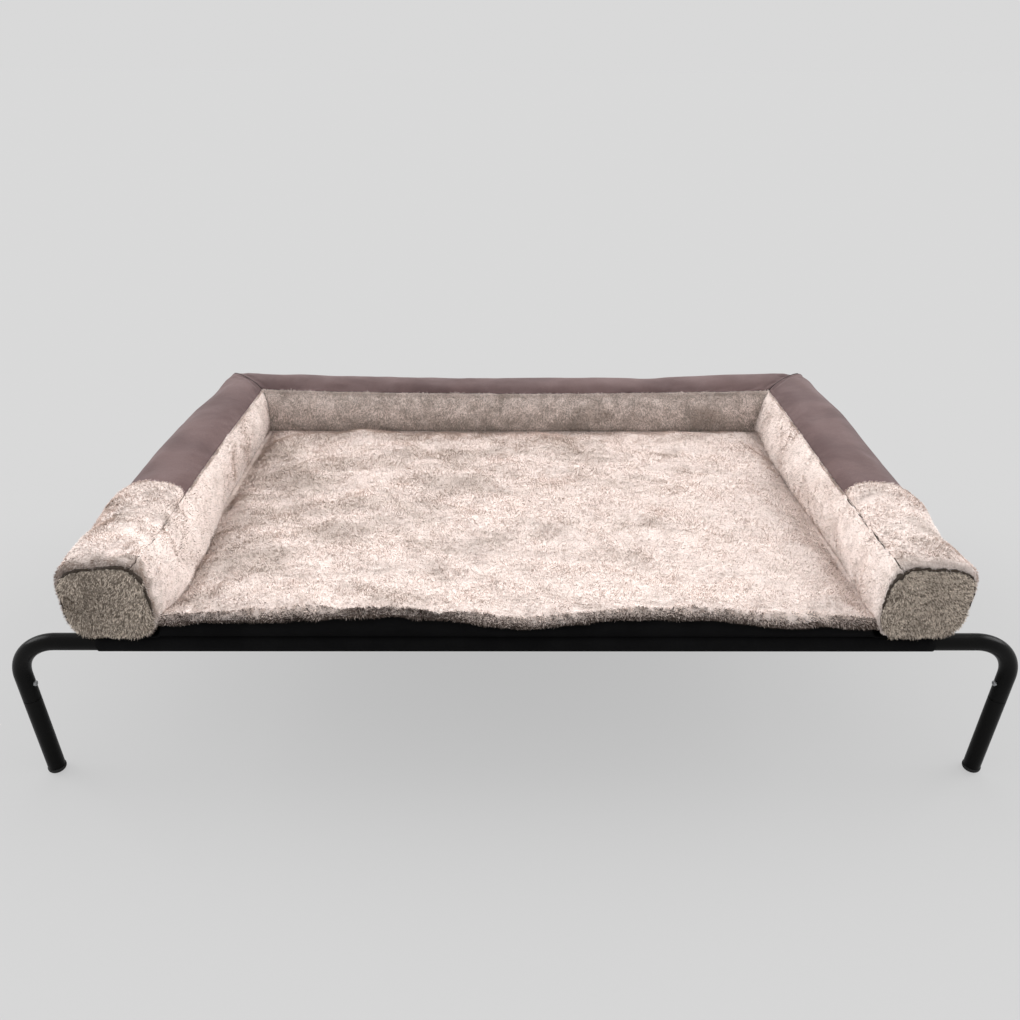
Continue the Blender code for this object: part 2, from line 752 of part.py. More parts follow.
def make_mat():
    rows = mat_rows()

    def plush(u, row, outer):
        return on_mat(u * MAT_HALF, row, 0.0 if outer else COVER)

    def fill(u, row, top):
        x, y, z = on_mat(u * MAT_HALF, row, COVER + SOFT_GAP)
        return x, y, z if top else FILL_BASE

    soft_slab("mat_plush", closing_up(16), rows, plush, PLUSH)
    soft_slab("mat_fill", closing_up(16), rows[:-1], fill, FIBRE)


def make_base_panel():
    """Bottom cloth of the pad, turned up in front of the mat."""
    outward = section(angle_at_height(FILL_BASE, "outer"), 0)[0]
    depth = BACK_Y + outward - SEAM_Y
    panel = block("base_panel", (2 * (ARM_X + outward), depth, BASE_THICK),
                  (0, SEAM_Y + depth / 2, PAD_BASE + BASE_THICK / 2), BASE_CLOTH)
    tongue = block("base_tongue", (2 * MAT_HALF, BASE_TUCK, BASE_THICK),
                   (0, PAD_FRONT + BASE_TUCK / 2, PAD_BASE + BASE_THICK / 2))
    lip = block("base_lip", (2 * MAT_HALF, BASE_THICK, BASE_LIP),
                (0, PAD_FRONT + BASE_THICK / 2, PAD_BASE + BASE_LIP / 2))
    boolean(panel, tongue, "UNION")
    boolean(panel, lip, "UNION")


def make_pad():
    make_base_panel()
    make_bolster_fills()
    make_mat()
    make_covers()
    make_end_caps()


make_frame()
make_sling()
make_pad()
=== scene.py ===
"""Looks of the raised pet bed: black tube frame, sling, and a pad of plush and suede bolsters.

Metres, +Z up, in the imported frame: the floor is at z = 0 and the open front faces -Y. A pair of numbers
is where a change starts and where it is complete, unless its name or a comment says otherwise.
"""
import math

import bmesh
import bpy
import numpy as np
from mathutils import Matrix, Vector


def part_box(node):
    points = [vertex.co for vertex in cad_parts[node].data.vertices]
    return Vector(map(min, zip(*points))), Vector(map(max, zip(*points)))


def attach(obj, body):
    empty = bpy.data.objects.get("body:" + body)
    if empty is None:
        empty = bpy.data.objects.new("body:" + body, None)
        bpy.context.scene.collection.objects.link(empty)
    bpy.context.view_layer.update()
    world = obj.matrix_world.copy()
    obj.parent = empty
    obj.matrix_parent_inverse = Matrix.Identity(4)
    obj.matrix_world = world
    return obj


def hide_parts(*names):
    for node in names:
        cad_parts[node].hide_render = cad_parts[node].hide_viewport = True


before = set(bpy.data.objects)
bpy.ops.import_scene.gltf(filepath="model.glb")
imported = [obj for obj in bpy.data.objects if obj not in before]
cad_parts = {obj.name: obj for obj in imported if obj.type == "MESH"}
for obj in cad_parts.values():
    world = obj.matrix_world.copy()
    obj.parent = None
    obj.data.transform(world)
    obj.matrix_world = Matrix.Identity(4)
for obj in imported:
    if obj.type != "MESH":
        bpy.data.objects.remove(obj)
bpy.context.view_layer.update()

# Camera, fitted to the photograph
IMAGE_PX = 1020
FOCAL_PX = 826.5
SENSOR_MM = 36.0
CAMERA_AT = (-0.0145, -1.1646, 0.8845)
PITCH = math.radians(29.62)
YAW = math.radians(0.355)
ROLL = math.radians(0.248)

# Light and backdrop
BACKDROP = 0.693
FLOOR_COLOUR = 0.438
FLOOR_GLOW = 0.68
SKY = 1.00
SKY_TILT = 0.62
SKY_SIDES = 0.35
SUN = 1.35
SUN_SPREAD = math.radians(36)
SUNS_FROM = ((-0.78, 0.24, 0.50), (0.78, 0.24, 0.50))

# Frame
CORNERS = ("front_left", "front_right", "rear_left", "rear_right")
BEND_R = 0.055
TUBE_SIDES = 48
BEND_STEPS = 24
TUBE_EDGE = 0.0006
JOIN_GAP = 0.0003
NECK_SHARE = 0.8
FOOT_CORNER = 0.0055
FOOT_STEPS = 8
FOOT_EDGE = 0.0005
PLUG_SHARE = 0.75

# Sling
CLOTH = 0.0009
SLEEVE_STEPS = 40
SLING_HEM = 0.030
SLING_HEM_GAP = 0.0005
SHEET_INSET = 0.020
SHEET_STATIONS = 106
STRIP_LAP = 0.012
STRIP_REACH = 0.300
STRIP_STATIONS = 61

# Bolsters
SECTION_POWER = 3.3
SIDE_CELLS = 24
ROW_STEP = 0.0055
FRONT_CROWD = 1.5
FLOOR_CLEAR = 0.002
CAP_SETBACK = 0.002
CAP_CROWN = 0.006
SLACK = 0.0035
SLACK_STARTS = (-0.002, 0.010)
SEAM_DEPTH = 0.0022
SEAM_WIDTH = 0.005
COVER = 0.0025
SLEEVE_THICK = 0.005
SLEEVE_PROUD = 0.0025
SLEEVE_RIM = 0.0030
SLEEVE_FOLD = 0.0010
SLEEVE_FOLD_SIZE = 0.040
PLUSH_LENGTH = 0.193
# Slant of the plush sleeve's edge, and its droop on the outer side
EDGE_BEND = {"left": (0.004, 0.012), "right": (-0.004, 0.020)}
ROLL_TIGHT = 0.0015
ROLL_TOP = 0.0085
ROLL_SIDE = 0.0020
RIGHT_LEAN = 0.009
ARM_LEANS = (-0.12, 0.22)
BACK_LEANS = (0.25, 0.44)
CORNER_IN = 0.012
CORNER_DROP = 0.007
CORNER_REACH = 0.024
FRONT_SQUARE = 2.6
# Places along an arm, and how far its foot spreads inwards or its side stands out there
FOOT_SPREAD = {
    "left": ((-0.345, 0.006), (-0.29, 0.028), (-0.24, 0.028), (-0.18, 0.024), (-0.12, 0.014),
             (-0.06, 0.005), (0.0, 0.0)),
    "right": ((-0.345, 0.004), (-0.31, 0.012), (-0.27, 0.004), (-0.20, 0.0), (-0.10, 0.006),
              (0.0, 0.013), (0.15, 0.012), (0.25, 0.004)),
}
BULGE = {
    "left": ((-0.335, 0.001), (-0.28, 0.007), (-0.20, 0.010), (-0.14, 0.012), (0.0, 0.012),
             (0.15, 0.009), (0.29, 0.0)),
    "right": ((-0.28, 0.0), (-0.20, 0.011), (-0.10, 0.014), (0.0, 0.014), (0.15, 0.018), (0.33, 0.010)),
}
BULGE_RISE = 0.45
ARM_EVENING = 0.025
FRONT_DROOP = {"left": 0.0062, "right": 0.0030}
DROOP_REACH = 0.11
BACK_SLUMP = 0.0065
MIDDLE_SLUMP = 0.010
SLUMP_REACH = 0.385

# Filling, as cloth under pressure
FRAMES = 20
PRESSURE = 4.0
BOLSTER_GROWTH = 0.016
MAT_GROWTH = 0.010
BOLSTER_REACH = 0.006
MAT_REACH = 0.004
CALM_ROWS = 4
CALM_START = 10
CALM_END = 8

# Seams
THREAD_SIDES = 8
THREAD_SIDE = (0.31, 0.52, 0.80)
THREAD_LEAST = 0.0002
THREAD_SWELL = 0.32
WANDER_SIZE = 0.013
SINK_SIZE = 0.022
SWELL_SIZE = 0.008
CAP_THREAD = 0.0006
CAP_THREAD_TOP = 0.0011
CAP_THREAD_SIDE = 0.0014
CAP_THREAD_PROUD = 0.0008
CAP_THREAD_WANDER = 0.0005
# How far the sleeve's seam lies below the skin, and its radius
SLEEVE_THREAD = {"left": (0.0011, 0.00045), "right": (0.0005, 0.0007)}
SLEEVE_THREAD_SINK = 0.0021
SLEEVE_THREAD_WANDER = 0.0007
MITRE_THREAD = 0.0005
MITRE_THREAD_SINK = 0.0004
SEAM_CLEAR = 0.0013

# Mat
MAT_CELL = 0.006
MAT_UNDER = 0.010
MAT_RISE = 0.0266
MAT_EDGE = 0.0151
MAT_SOFT_EDGE = 0.045
MAT_ROLL = 0.012
MAT_ROLL_STEPS = 9
MAT_COVER = 0.002
MAT_HELD = 0.002
ROLL_HELD_FROM = 13
ROLL_HELD_TO = 9
OPEN_FRONT = 0.06
# Height, size and seed of each wave; start, end, depth and width of each fold
MAT_WAVES = ((0.0022, 0.19, 21), (0.0012, 0.07, 22))
MAT_FOLDS = (
    (0.30, -0.34, 0.345, -0.24, 0.0030, 0.007),
    (0.345, -0.345, 0.36, -0.20, 0.0026, 0.008),
    (0.21, -0.27, 0.33, -0.25, 0.0022, 0.009),
    (-0.405, -0.345, -0.385, -0.22, 0.0030, 0.009),
    (-0.30, -0.27, -0.12, -0.245, 0.0018, 0.010),
    (-0.05, -0.20, 0.13, -0.23, 0.0016, 0.010),
    (0.24, 0.10, 0.37, 0.02, 0.0028, 0.010),
    (0.18, 0.14, 0.34, 0.12, 0.0020, 0.010),
    (0.30, -0.02, 0.41, -0.10, 0.0022, 0.009),
    (-0.34, 0.05, -0.20, 0.12, 0.0020, 0.011),
)
HEM_CREST = 0.0085
HEM_CREST_ENDS = (0.01, 0.09)
HEM_GAP = 0.001
HEM_LOW = 0.2522
HEM_LIFT = 0.0118
HEM_SETBACK = 0.015
HEM_FRINGE = 0.0075
HEM_TUCK = 0.010
HEM_EVENING = 0.020
# Places along the hem, and the height of its wave there
HEM_WAVE = ((-0.434, 0.33), (-0.390, 0.53), (-0.310, 0.56), (-0.243, 0.78), (-0.163, 0.97),
            (-0.082, 0.70), (0.004, 0.03), (0.053, 0.28), (0.108, 0.67), (0.176, 0.78),
            (0.256, 0.72), (0.324, 0.17), (0.379, 0.31), (0.429, 0.17))

# Bottom cloth
BASE_THICK = 0.0008
BASE_LIFT = 0.0010
BASE_STATIONS = 213
BASE_ROWS = 24
RISE_ROWS = 10
RISE_ENDS = (-0.004, 0.002)
RISE_START = 0.012
RISE_SETBACK = 0.0055
RISE_LIFT = 0.0006
RISE_BELLY = 0.0035
RIPPLE = 0.0007
RIPPLES = 71

# Fur: blades in a square metre, how far each is shaded like the cloth, and the way that it is combed
THIN = 1.0
MAX_BLADES = 95000
PILE = {
    "top": dict(density=480000, length=0.0036, width=0.0007, dark=0.08, soft=0.82, comb=(0.55, -1, 0)),
    "plush": dict(density=560000, length=0.0034, width=0.0007, dark=0.10, soft=0.80, comb=(0.5, -0.8, -0.5)),
    "inner": dict(density=480000, length=0.0034, width=0.0007, dark=0.08, soft=0.84, comb=(0, -0.5, -1)),
    "cap": dict(density=520000, length=0.0048, width=0.0009, dark=0.38, soft=0.45, comb=(0.15, 0, -1)),
    "back": dict(density=420000, length=0.0042, width=0.0008, dark=0.25, soft=0.55, comb=(0, -0.5, -1)),
}
BLADE_ROOT = 0.001
# Strength and size of the swirls in which the blades turn
SWIRLS = ((0.6, 0.085), (0.18, 0.022))
TURN_SPREAD = 0.60
TILT_SPREAD = 0.28
TILT_LIMITS = (0.3, 1.35)
ROLL_SPREAD = 0.35
# Least and largest share
LENGTH_SPREAD = (0.7, 1.2)
WIDTH_SPREAD = (0.6, 1.3)
BLADE_MARKS = (0.0, 0.0, 0.5, 0.5, 1.0)
DARK_BLADE = 0.12
PILE_FLOOR = 0.004
INNER_BURIED = 0.014
PILE_LAP = 0.002
# At an arm's front edge: extra dark blades, softer shading, the least tone and the painted shade by side,
# and that shade's spread; painted shade makes the left side darker than the right
FRONT_DARK = 0.35
FRONT_SOFT = 0.45
FRONT_TONE = {"left": 0.0, "right": 0.6}
FRONT_SHADE = {"left": 0.60, "right": 0.0}
FRONT_SHADE_SPREAD = (0.3, 1.5)
PANEL_TONE = 0.48
TONE_RISES = (-0.001, 0.024)
TONE_EDGE_WAVE = 0.004
TONE_EDGE_SIZE = 0.016
SLEEVE_FOOT = 0.032
# More dark blades towards the back of an inner panel: partly its specks, partly painted shade
INNER_DARK = 0.28
INNER_DARKENS = (-0.22, 0.10)
LEAST_TONE = 0.30
TUFT_DENSITY = 1100000
TUFT_LENGTH = 0.0042
TUFT_WIDTH = 0.0008
TUFT_REACH = {"left": 0.0035, "right": 0.0035, "back": 0.0068}
FRINGE_DENSITY = 2200000
FRINGE_LENGTH = 0.0050
FRINGE_WIDTH = 0.0009
FRINGE_DEPTH = 0.010
FRINGE_EDGE_WAVE = 0.0030
FRINGE_EDGE_SIZE = 0.015
FRINGE_EDGE_BLUR = 0.0042
FRINGE_TONE_BLUR = 0.0030
FRINGE_PALES = (-0.001, 0.0115)


# Numbers and fields
def smooth(low, high, value):
    share = np.clip((value - low) / (high - low), 0.0, 1.0)
    return share * share * (3 - 2 * share)


def unit(vectors):
    """The same directions, each with a length of 1."""
    return vectors / np.maximum(np.linalg.norm(vectors, axis=1), 1e-9)[:, None]


def turned(first, second, angle):
    """Directions that lie an angle away from the first ones, towards the second ones."""
    return first * np.cos(angle)[:, None] + second * np.sin(angle)[:, None]


def field(points, size, seed, count=24):
    """Smooth random field of about unit strength with features of a given size."""
    pick = np.random.default_rng(seed)
    ways = unit(pick.normal(size=(count, 3)))
    ways *= (math.tau / size * pick.uniform(0.55, 1.5, count))[:, None]
    phases = pick.uniform(0, math.tau, count)
    return np.sin(points @ ways.T + phases).sum(1) / math.sqrt(count / 2)


def evened(knots, place, spread):
    """A measure known at a few places, averaged over its neighbourhood so that it changes smoothly."""
    places, values = zip(*knots)
    shifts = np.linspace(-spread, spread, 9)
    return sum(np.interp(place + shift, places, values) for shift in shifts) / len(shifts)


# Objects
def linked(name, data):
    made = bpy.data.objects.new(name, data)
    bpy.context.scene.collection.objects.link(made)
    return made


def new_object(name, mesh, material, body, replaces=()):
    made = linked(name, mesh)
    made.data.materials.append(material)
    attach(made, body)
    if replaces:
        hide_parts(*replaces)
    return made


def thicken(made, thickness, offset=-1.0):
    wall = made.modifiers.new("cloth", "SOLIDIFY")
    wall.thickness = thickness
    wall.offset = offset


def mesh_of(name, points, faces, smooth_angle=180):
    mesh = bpy.data.meshes.new(name)
    mesh.from_pydata([tuple(p) for p in points], [], [tuple(int(i) for i in f) for f in faces])
    mesh.update()
    mesh.shade_smooth()
    if smooth_angle < 180:
        mesh.set_sharp_from_angle(angle=math.radians(smooth_angle))
    return mesh


def tidy_normals(mesh):
    bm = bmesh.new()
    bm.from_mesh(mesh)
    bmesh.ops.recalc_face_normals(bm, faces=bm.faces[:])
    if bm.calc_volume(signed=True) < 0:
        bmesh.ops.reverse_faces(bm, faces=bm.faces[:])
    bm.to_mesh(mesh)
    bm.free()
    return mesh


def values_of(items, key, kind=float):
    """Three values of every item in a part of a mesh."""
    values = np.zeros(len(items) * 3, kind)
    items.foreach_get(key, values)
    return values.reshape(-1, 3)


def mark_reach(mesh, values):
    """The mark that plush materials read: 0 at a root, 1 at a tip, and shaded below 0."""
    mark = mesh.attributes.new("reach", "FLOAT", "POINT")
    mark.data.foreach_set("value", values.astype(np.float32))


def ring_faces(rows, ring):
    """Faces between the rings of a tube, row by row."""
    faces = []
    for j in range(rows):
        for k in range(ring):
            after = (k + 1) % ring
            faces.append((j * ring + k, j * ring + after, (j + 1) * ring + after, (j + 1) * ring + k))
    return faces


def grid_faces(columns, rows):
    """Faces of a sheet whose points come column by column, with so many rows in each."""
    first = np.arange(columns * rows).reshape(columns, rows)[:, :-1].ravel()
    return np.stack([first, first + 1, first + rows + 1, first + rows], axis=1)


# Materials
class Nodes:
    """A node tree, with short calls for the nodes that it needs."""

    def __init__(self, tree):
        self.tree = tree

    def feed(self, socket, value):
        if isinstance(value, bpy.types.NodeSocket):
            self.tree.links.new(value, socket)
        elif isinstance(value, tuple) and len(value) == 3 and socket.type == "RGBA":
            socket.default_value = (*value, 1.0)
        else:
            socket.default_value = value

    def add(self, kind, feeds=(), **values):
        """Outputs of a new node, after its settings and what its inputs are fed with."""
        node = self.tree.nodes.new(f"ShaderNode{kind}")
        for key, value in values.items():
            setattr(node, key, value)
        for key, value in dict(feeds).items():
            self.feed(node.inputs[key], value)
        return node.outputs

    def math(self, operation, first, second=0.0):
        return self.add("Math", {0: first, 1: second}, operation=operation)[0]

    def show(self, output, share, first, second):
        """Sends a blend of two shaders to the tree's output."""
        blend = self.add("MixShader", {0: share, 1: first, 2: second})[0]
        self.feed(self.tree.nodes[output].inputs["Surface"], blend)


class Paint(Nodes):
    """One material of an object, placed by the object's own coordinates."""

    def __init__(self, name):
        self.material = bpy.data.materials.new(name)
        self.material.use_nodes = True
        super().__init__(self.material.node_tree)
        self.shader = self.tree.nodes["Principled BSDF"]
        self.place = self.add("TexCoord")["Object"]

    def set(self, **values):
        for key, value in values.items():
            self.feed(self.shader.inputs[key.replace("_", " ")], value)

    def stretched(self, scale, turn=(0, 0, 0), shift=(0, 0, 0)):
        return self.add("Mapping", {"Vector": self.place, "Location": shift, "Rotation": turn,
                                    "Scale": scale})["Vector"]

    def noise(self, scale, detail=3.0, rough=0.5, twist=0.0, vector=None):
        return self.add("TexNoise", {"Vector": vector or self.place, "Scale": scale, "Detail": detail,
                                     "Roughness": rough, "Distortion": twist})["Fac"]

    def ramp(self, value, low, high, out_low=0.0, out_high=1.0):
        return self.add("MapRange", {"Value": value, "From Min": low, "From Max": high, "To Min": out_low,
                                     "To Max": out_high}, interpolation_type="SMOOTHSTEP")["Result"]

    def mix(self, share, first, second):
        return self.add("Mix", {0: share, 6: first, 7: second}, data_type="RGBA")[2]

    def bump(self, height, strength, distance, under=None):
        feeds = {"Height": height, "Strength": strength, "Distance": distance}
        if under:
            feeds["Normal"] = under
        return self.add("Bump", feeds)["Normal"]


def powder_coat():
    paint = Paint("powder_coat")
    dull = paint.noise(14, 3)
    paint.set(Base_Color=paint.mix(dull, (0.0020, 0.0020, 0.0019), (0.0042, 0.0040, 0.0038)),
              Roughness=paint.ramp(dull, 0.3, 0.7, 0.24, 0.34),
              Normal=paint.bump(paint.noise(900, 2), 0.25, 0.0003), Specular_IOR_Level=0.10)
    return paint.material


def plain(name, colour, roughness, metallic=0.0, grain=600, depth=0.0002):
    """Even finish with a fine grain: rubber, plated steel, spring steel and thread."""
    paint = Paint(name)
    darker = tuple(c * 0.75 for c in colour)
    cloud = paint.noise(35, 4)
    paint.set(Base_Color=paint.mix(cloud, darker, colour), Metallic=metallic,
              Roughness=paint.ramp(cloud, 0.3, 0.7, roughness * 0.85, roughness * 1.15),
              Normal=paint.bump(paint.noise(grain, 2), 0.3, depth))
    return paint.material


def weave(name, dark, light, thread, roughness, depth):
    """Plain woven cloth, whose threads cross along X and Y, or Z on an upright face."""
    paint = Paint(name)
    place = paint.add("SeparateXYZ", {0: paint.place})
    depth_way = paint.math("ADD", place["Y"], place["Z"])
    across, along = (paint.math("SINE", paint.math("MULTIPLY", way, math.pi / thread))
                     for way in (place["X"], depth_way))
    cross = paint.math("ABSOLUTE", paint.math("MULTIPLY", across, along))
    shade = paint.math("MULTIPLY", paint.ramp(cross, 0.0, 0.9, 0.35, 1.0),
                       paint.ramp(paint.noise(22, 4, 0.6), 0.3, 0.7, 0.5, 1.0))
    threads = paint.bump(cross, 0.6, depth)
    paint.set(Base_Color=paint.mix(shade, dark, light), Roughness=roughness, Specular_IOR_Level=0.05,
              Normal=paint.bump(paint.noise(700, 2), 0.3, depth * 0.5, under=threads))
    return paint.material


def suede_cloth():
    """Short-nap suede: soft clouds where the nap lies differently, and a fine grain."""
    paint = Paint("suede")
    cloud = paint.ramp(paint.noise(9, 4, 0.55, 0.6), 0.38, 0.64)
    streak = paint.ramp(paint.noise(17, 3, 0.6, 0.4, paint.stretched((0.8, 0.9, 1.0))), 0.40, 0.72)
    grain = paint.noise(520, 3, 0.7)
    base = paint.mix(cloud, (0.104, 0.067, 0.066), (0.146, 0.096, 0.093))
    worn = paint.mix(paint.math("MULTIPLY", streak, 0.42), base, (0.196, 0.139, 0.137))
    lumps = paint.bump(paint.noise(48, 4, 0.6), 0.3, 0.0020)
    paint.set(Base_Color=paint.mix(paint.ramp(grain, 0.3, 0.7, 0.0, 0.35), worn, (0.075, 0.050, 0.049)),
              Roughness=0.9, Normal=paint.bump(grain, 0.35, 0.0006, under=lumps), Sheen_Weight=0.14,
              Sheen_Roughness=0.4, Sheen_Tint=(0.95, 0.80, 0.80), Specular_IOR_Level=0.2)
    return paint.material


PALE = (1.0, 0.885, 0.835)
MIDDLE = (0.66, 0.560, 0.505)
TOP_MIDDLE = (0.58, 0.485, 0.430)
SLEEVE_MIDDLE = (0.48, 0.400, 0.352)
DEEP = (0.24, 0.190, 0.155)
# Painted shade on pile that bends over an arm's front edge
SHADED = (0.150, 0.096, 0.066)
# Darker copies of the plush for the end panels and the back's inner face, which turn to the dim front:
# partly painted shade
CAP_COLOURS = ((0.80, 0.690, 0.585), (0.30, 0.250, 0.200), (0.09, 0.070, 0.052))
BACK_SHADE_COLOURS = ((0.60, 0.525, 0.478), (0.32, 0.276, 0.244), DEEP)
# Fringe colours, deep at the bottom of the roll: partly painted shade, partly the black base cloth between
# strands
FRINGE_COLOURS = ((1.0, 0.855, 0.78), (0.42, 0.320, 0.258), (0.036, 0.021, 0.014))
CLOUD_STRETCH = (0.65, 1.25, 1.1)
# The mat's clouds, mirrored and shifted so that darker patches fall at its front left, as painted shade
MAT_CLOUD_STRETCH = (-0.65, 1.25, 1.1)
MAT_CLOUDS = (-0.066, 0.280, 0)
# How much the mat's patches grow towards -X, and towards +Y, as painted shade
MAT_SHADE_SLOPE = (0.20, 0.07)


def plush_spots(paint, lie):
    """Noise of the plush's patches, which on the mat grow towards -X and +Y as painted shade."""
    if not lie:
        return paint.noise(15, 5, 0.62, 0.3, paint.stretched(CLOUD_STRETCH, (0, 0, 0.3)))
    clouds = paint.stretched(MAT_CLOUD_STRETCH, (0, 0, 0.3), MAT_CLOUDS)
    place = paint.add("SeparateXYZ", {0: paint.place})
    spots = paint.math("SUBTRACT", paint.noise(15, 5, 0.62, 0.3, clouds),
                       paint.math("MULTIPLY", place["X"], lie[0]))
    return paint.math("ADD", spots, paint.math("MULTIPLY", place["Y"], lie[1]))


def plush_pile(name, colours, patch=0.48, mottle=0.60, speck=0.30, roots=0.40, grain=430, tips=False,
               lie=None):
    """Frosted plush: pale tips, darker roots, mottled patches, streaks, specks and painted shade.

    The colours are the pale, the middle and the deep one. Tips are for blades, which need no bump.
    """
    paint = Paint(name)
    pale, middle, deep = colours
    flow = paint.stretched((0.38, 1.5, 1.2), (0, 0, 0.2))
    patches = paint.ramp(plush_spots(paint, lie), patch, patch + 0.25)
    streaks = paint.ramp(paint.noise(85, 3, 0.55, 0.0, flow), 0.45, 0.72)
    specks = paint.ramp(paint.noise(grain, 2, 0.6), 0.52, 0.66)
    colour = paint.mix(paint.math("MULTIPLY", patches, mottle), pale, middle)
    colour = paint.mix(paint.math("MULTIPLY", streaks, 0.34), colour, middle)
    colour = paint.mix(paint.math("MULTIPLY", specks, speck), colour, deep)
    reach = paint.add("Attribute", attribute_name="reach")["Fac"]
    rooted = paint.mix(roots, colour, deep)
    colour = paint.mix(paint.ramp(reach, 0.0, 0.6), rooted, colour)
    # Painted shade: below a reach of 0 the colour goes towards SHADED
    colour = paint.mix(paint.ramp(reach, -1.0, 0.0, 1.0, 0.0), colour, SHADED)
    paint.set(Base_Color=colour, Roughness=0.95, Sheen_Weight=0.13, Sheen_Roughness=0.5,
              Sheen_Tint=(1.0, 0.84, 0.76), Specular_IOR_Level=0.15)
    if not tips:
        lumps = paint.bump(paint.noise(50, 3, 0.6, 0.8), 0.5, 0.004)
        paint.set(Normal=paint.bump(paint.noise(260, 4, 0.7, 0.8), 0.7, 0.002, under=lumps))
    return paint.material


def plush_pair(name, middle, **looks):
    """The same plush for a panel and for the blades on it."""
    colours = (PALE, middle, DEEP)
    return plush_pile(name, colours, **looks), plush_pile(f"{name}_tips", colours, tips=True, **looks)


POWDER = powder_coat()
RUBBER = plain("foot_rubber", (0.014, 0.014, 0.014), 0.75, grain=300, depth=0.0004)
ZINC = plain("zinc", (0.42, 0.43, 0.44), 0.34, 1.0)
STEEL = plain("spring_steel", (0.35, 0.36, 0.38), 0.35, 1.0)
SLING = weave("sling_mesh", (0.0020, 0.0020, 0.0022), (0.0085, 0.0085, 0.0090), 0.0016, 0.8, 0.0005)
BASE = weave("base_cloth", (0.0020, 0.0020, 0.0020), (0.0080, 0.0080, 0.0085), 0.0011, 0.9, 0.0004)
SUEDE = suede_cloth()
THREAD = plain("seam_thread", (0.046, 0.032, 0.022), 0.9, grain=900, depth=0.0004)
SUEDE_THREAD = plain("suede_thread", (0.040, 0.028, 0.028), 0.9, grain=900, depth=0.0004)
PLUSH, PLUSH_TIPS = plush_pair("plush", SLEEVE_MIDDLE, mottle=0.80)
TOP_PLUSH, TOP_TIPS = plush_pair("top_plush", TOP_MIDDLE, patch=0.45, mottle=0.66, lie=MAT_SHADE_SLOPE)
# Inner faces: a paler, less mottled copy of the plush with a paler MIDDLE, as painted light
INNER_PLUSH, INNER_TIPS = plush_pair("inner_plush", MIDDLE, patch=0.50, mottle=0.48, roots=0.6)
CAP_PLUSH = plush_pile("cap_plush", CAP_COLOURS, speck=0.6, roots=0.6, grain=210)
CAP_TIPS = plush_pile("cap_plush_tips", CAP_COLOURS, speck=0.6, roots=0.85, grain=210, tips=True)
BACK_TIPS = plush_pile("back_plush_tips", BACK_SHADE_COLOURS, patch=0.47, speck=0.5, roots=0.6, tips=True)
FRINGE_TIPS = plush_pile("fringe_tips", FRINGE_COLOURS, speck=0.45, roots=0.95, tips=True)
TIPS = {"plush": PLUSH_TIPS, "top": TOP_TIPS, "inner": INNER_TIPS, "cap": CAP_TIPS, "back": BACK_TIPS}


# Stage, light and camera
def make_stage():
    scene = bpy.context.scene
    scene.view_settings.view_transform = "Standard"
    mesh = bpy.data.meshes.new("floor")
    bm = bmesh.new()
    bmesh.ops.create_grid(bm, x_segments=1, y_segments=1, size=30)
    bm.to_mesh(mesh)
    bm.free()
    floor = linked("floor", mesh)
    floor.data.materials.append(floor_paint())
    make_world(scene)
    for number, direction in enumerate(SUNS_FROM):
        sun = bpy.data.lights.new(f"sun_{number}", "SUN")
        sun.energy = SUN
        sun.angle = SUN_SPREAD
        lamp = linked(f"sun_{number}", sun)
        lamp.rotation_euler = Vector(direction).to_track_quat("Z", "Y").to_euler()


def floor_paint():
    """Pale floor, which to the camera glows a little so that its shadow stays soft."""
    paint = Paint("floor")
    paint.set(Base_Color=(FLOOR_COLOUR,) * 3, Roughness=1.0, Specular_IOR_Level=0.0)
    glow = paint.add("Emission", {"Color": (BACKDROP,) * 3})[0]
    seen = paint.add("LightPath")["Is Camera Ray"]
    paint.show("Material Output", paint.math("MULTIPLY", seen, FLOOR_GLOW), paint.shader.outputs[0], glow)
    return paint.material


def make_world(scene):
    """Studio light, dimmer in front and brighter at the sides, with a pale backdrop behind it all.

    The camera and mirrors see the backdrop alone.
    """
    scene.world = bpy.data.worlds.new("sky")
    scene.world.use_nodes = True
    sky = Nodes(scene.world.node_tree)
    light = sky.tree.nodes["Background"]
    sky.feed(light.inputs["Color"], (1.0, 1.0, 1.0))
    way = sky.add("SeparateXYZ", {0: sky.add("TexCoord")["Generated"]})
    sides = sky.math("MULTIPLY", sky.math("ABSOLUTE", way["X"]), SKY * SKY_SIDES)
    slope = sky.math("MULTIPLY", way["Y"], SKY * SKY_TILT)
    sky.feed(light.inputs["Strength"], sky.math("ADD", sky.math("ADD", sides, slope), SKY))
    backdrop = sky.add("Background", {"Color": (BACKDROP,) * 3})[0]
    ray = sky.add("LightPath")
    seen = sky.math("MAXIMUM", ray["Is Camera Ray"], ray["Is Glossy Ray"])
    sky.show("World Output", seen, light.outputs[0], backdrop)


def make_camera():
    data = bpy.data.cameras.new("camera")
    data.sensor_width = SENSOR_MM
    data.lens = FOCAL_PX / IMAGE_PX * SENSOR_MM
    camera = linked("camera", data)
    forward = Vector((math.sin(YAW) * math.cos(PITCH), math.cos(YAW) * math.cos(PITCH), -math.sin(PITCH)))
    level = Vector((math.cos(YAW), -math.sin(YAW), 0))
    up = level.cross(forward)
    right = level * math.cos(ROLL) + up * math.sin(ROLL)
    top = up * math.cos(ROLL) - level * math.sin(ROLL)
    turn = Matrix((right, top, -forward)).transposed().to_4x4()
    camera.matrix_world = Matrix.Translation(CAMERA_AT) @ turn
    bpy.context.scene.camera = camera


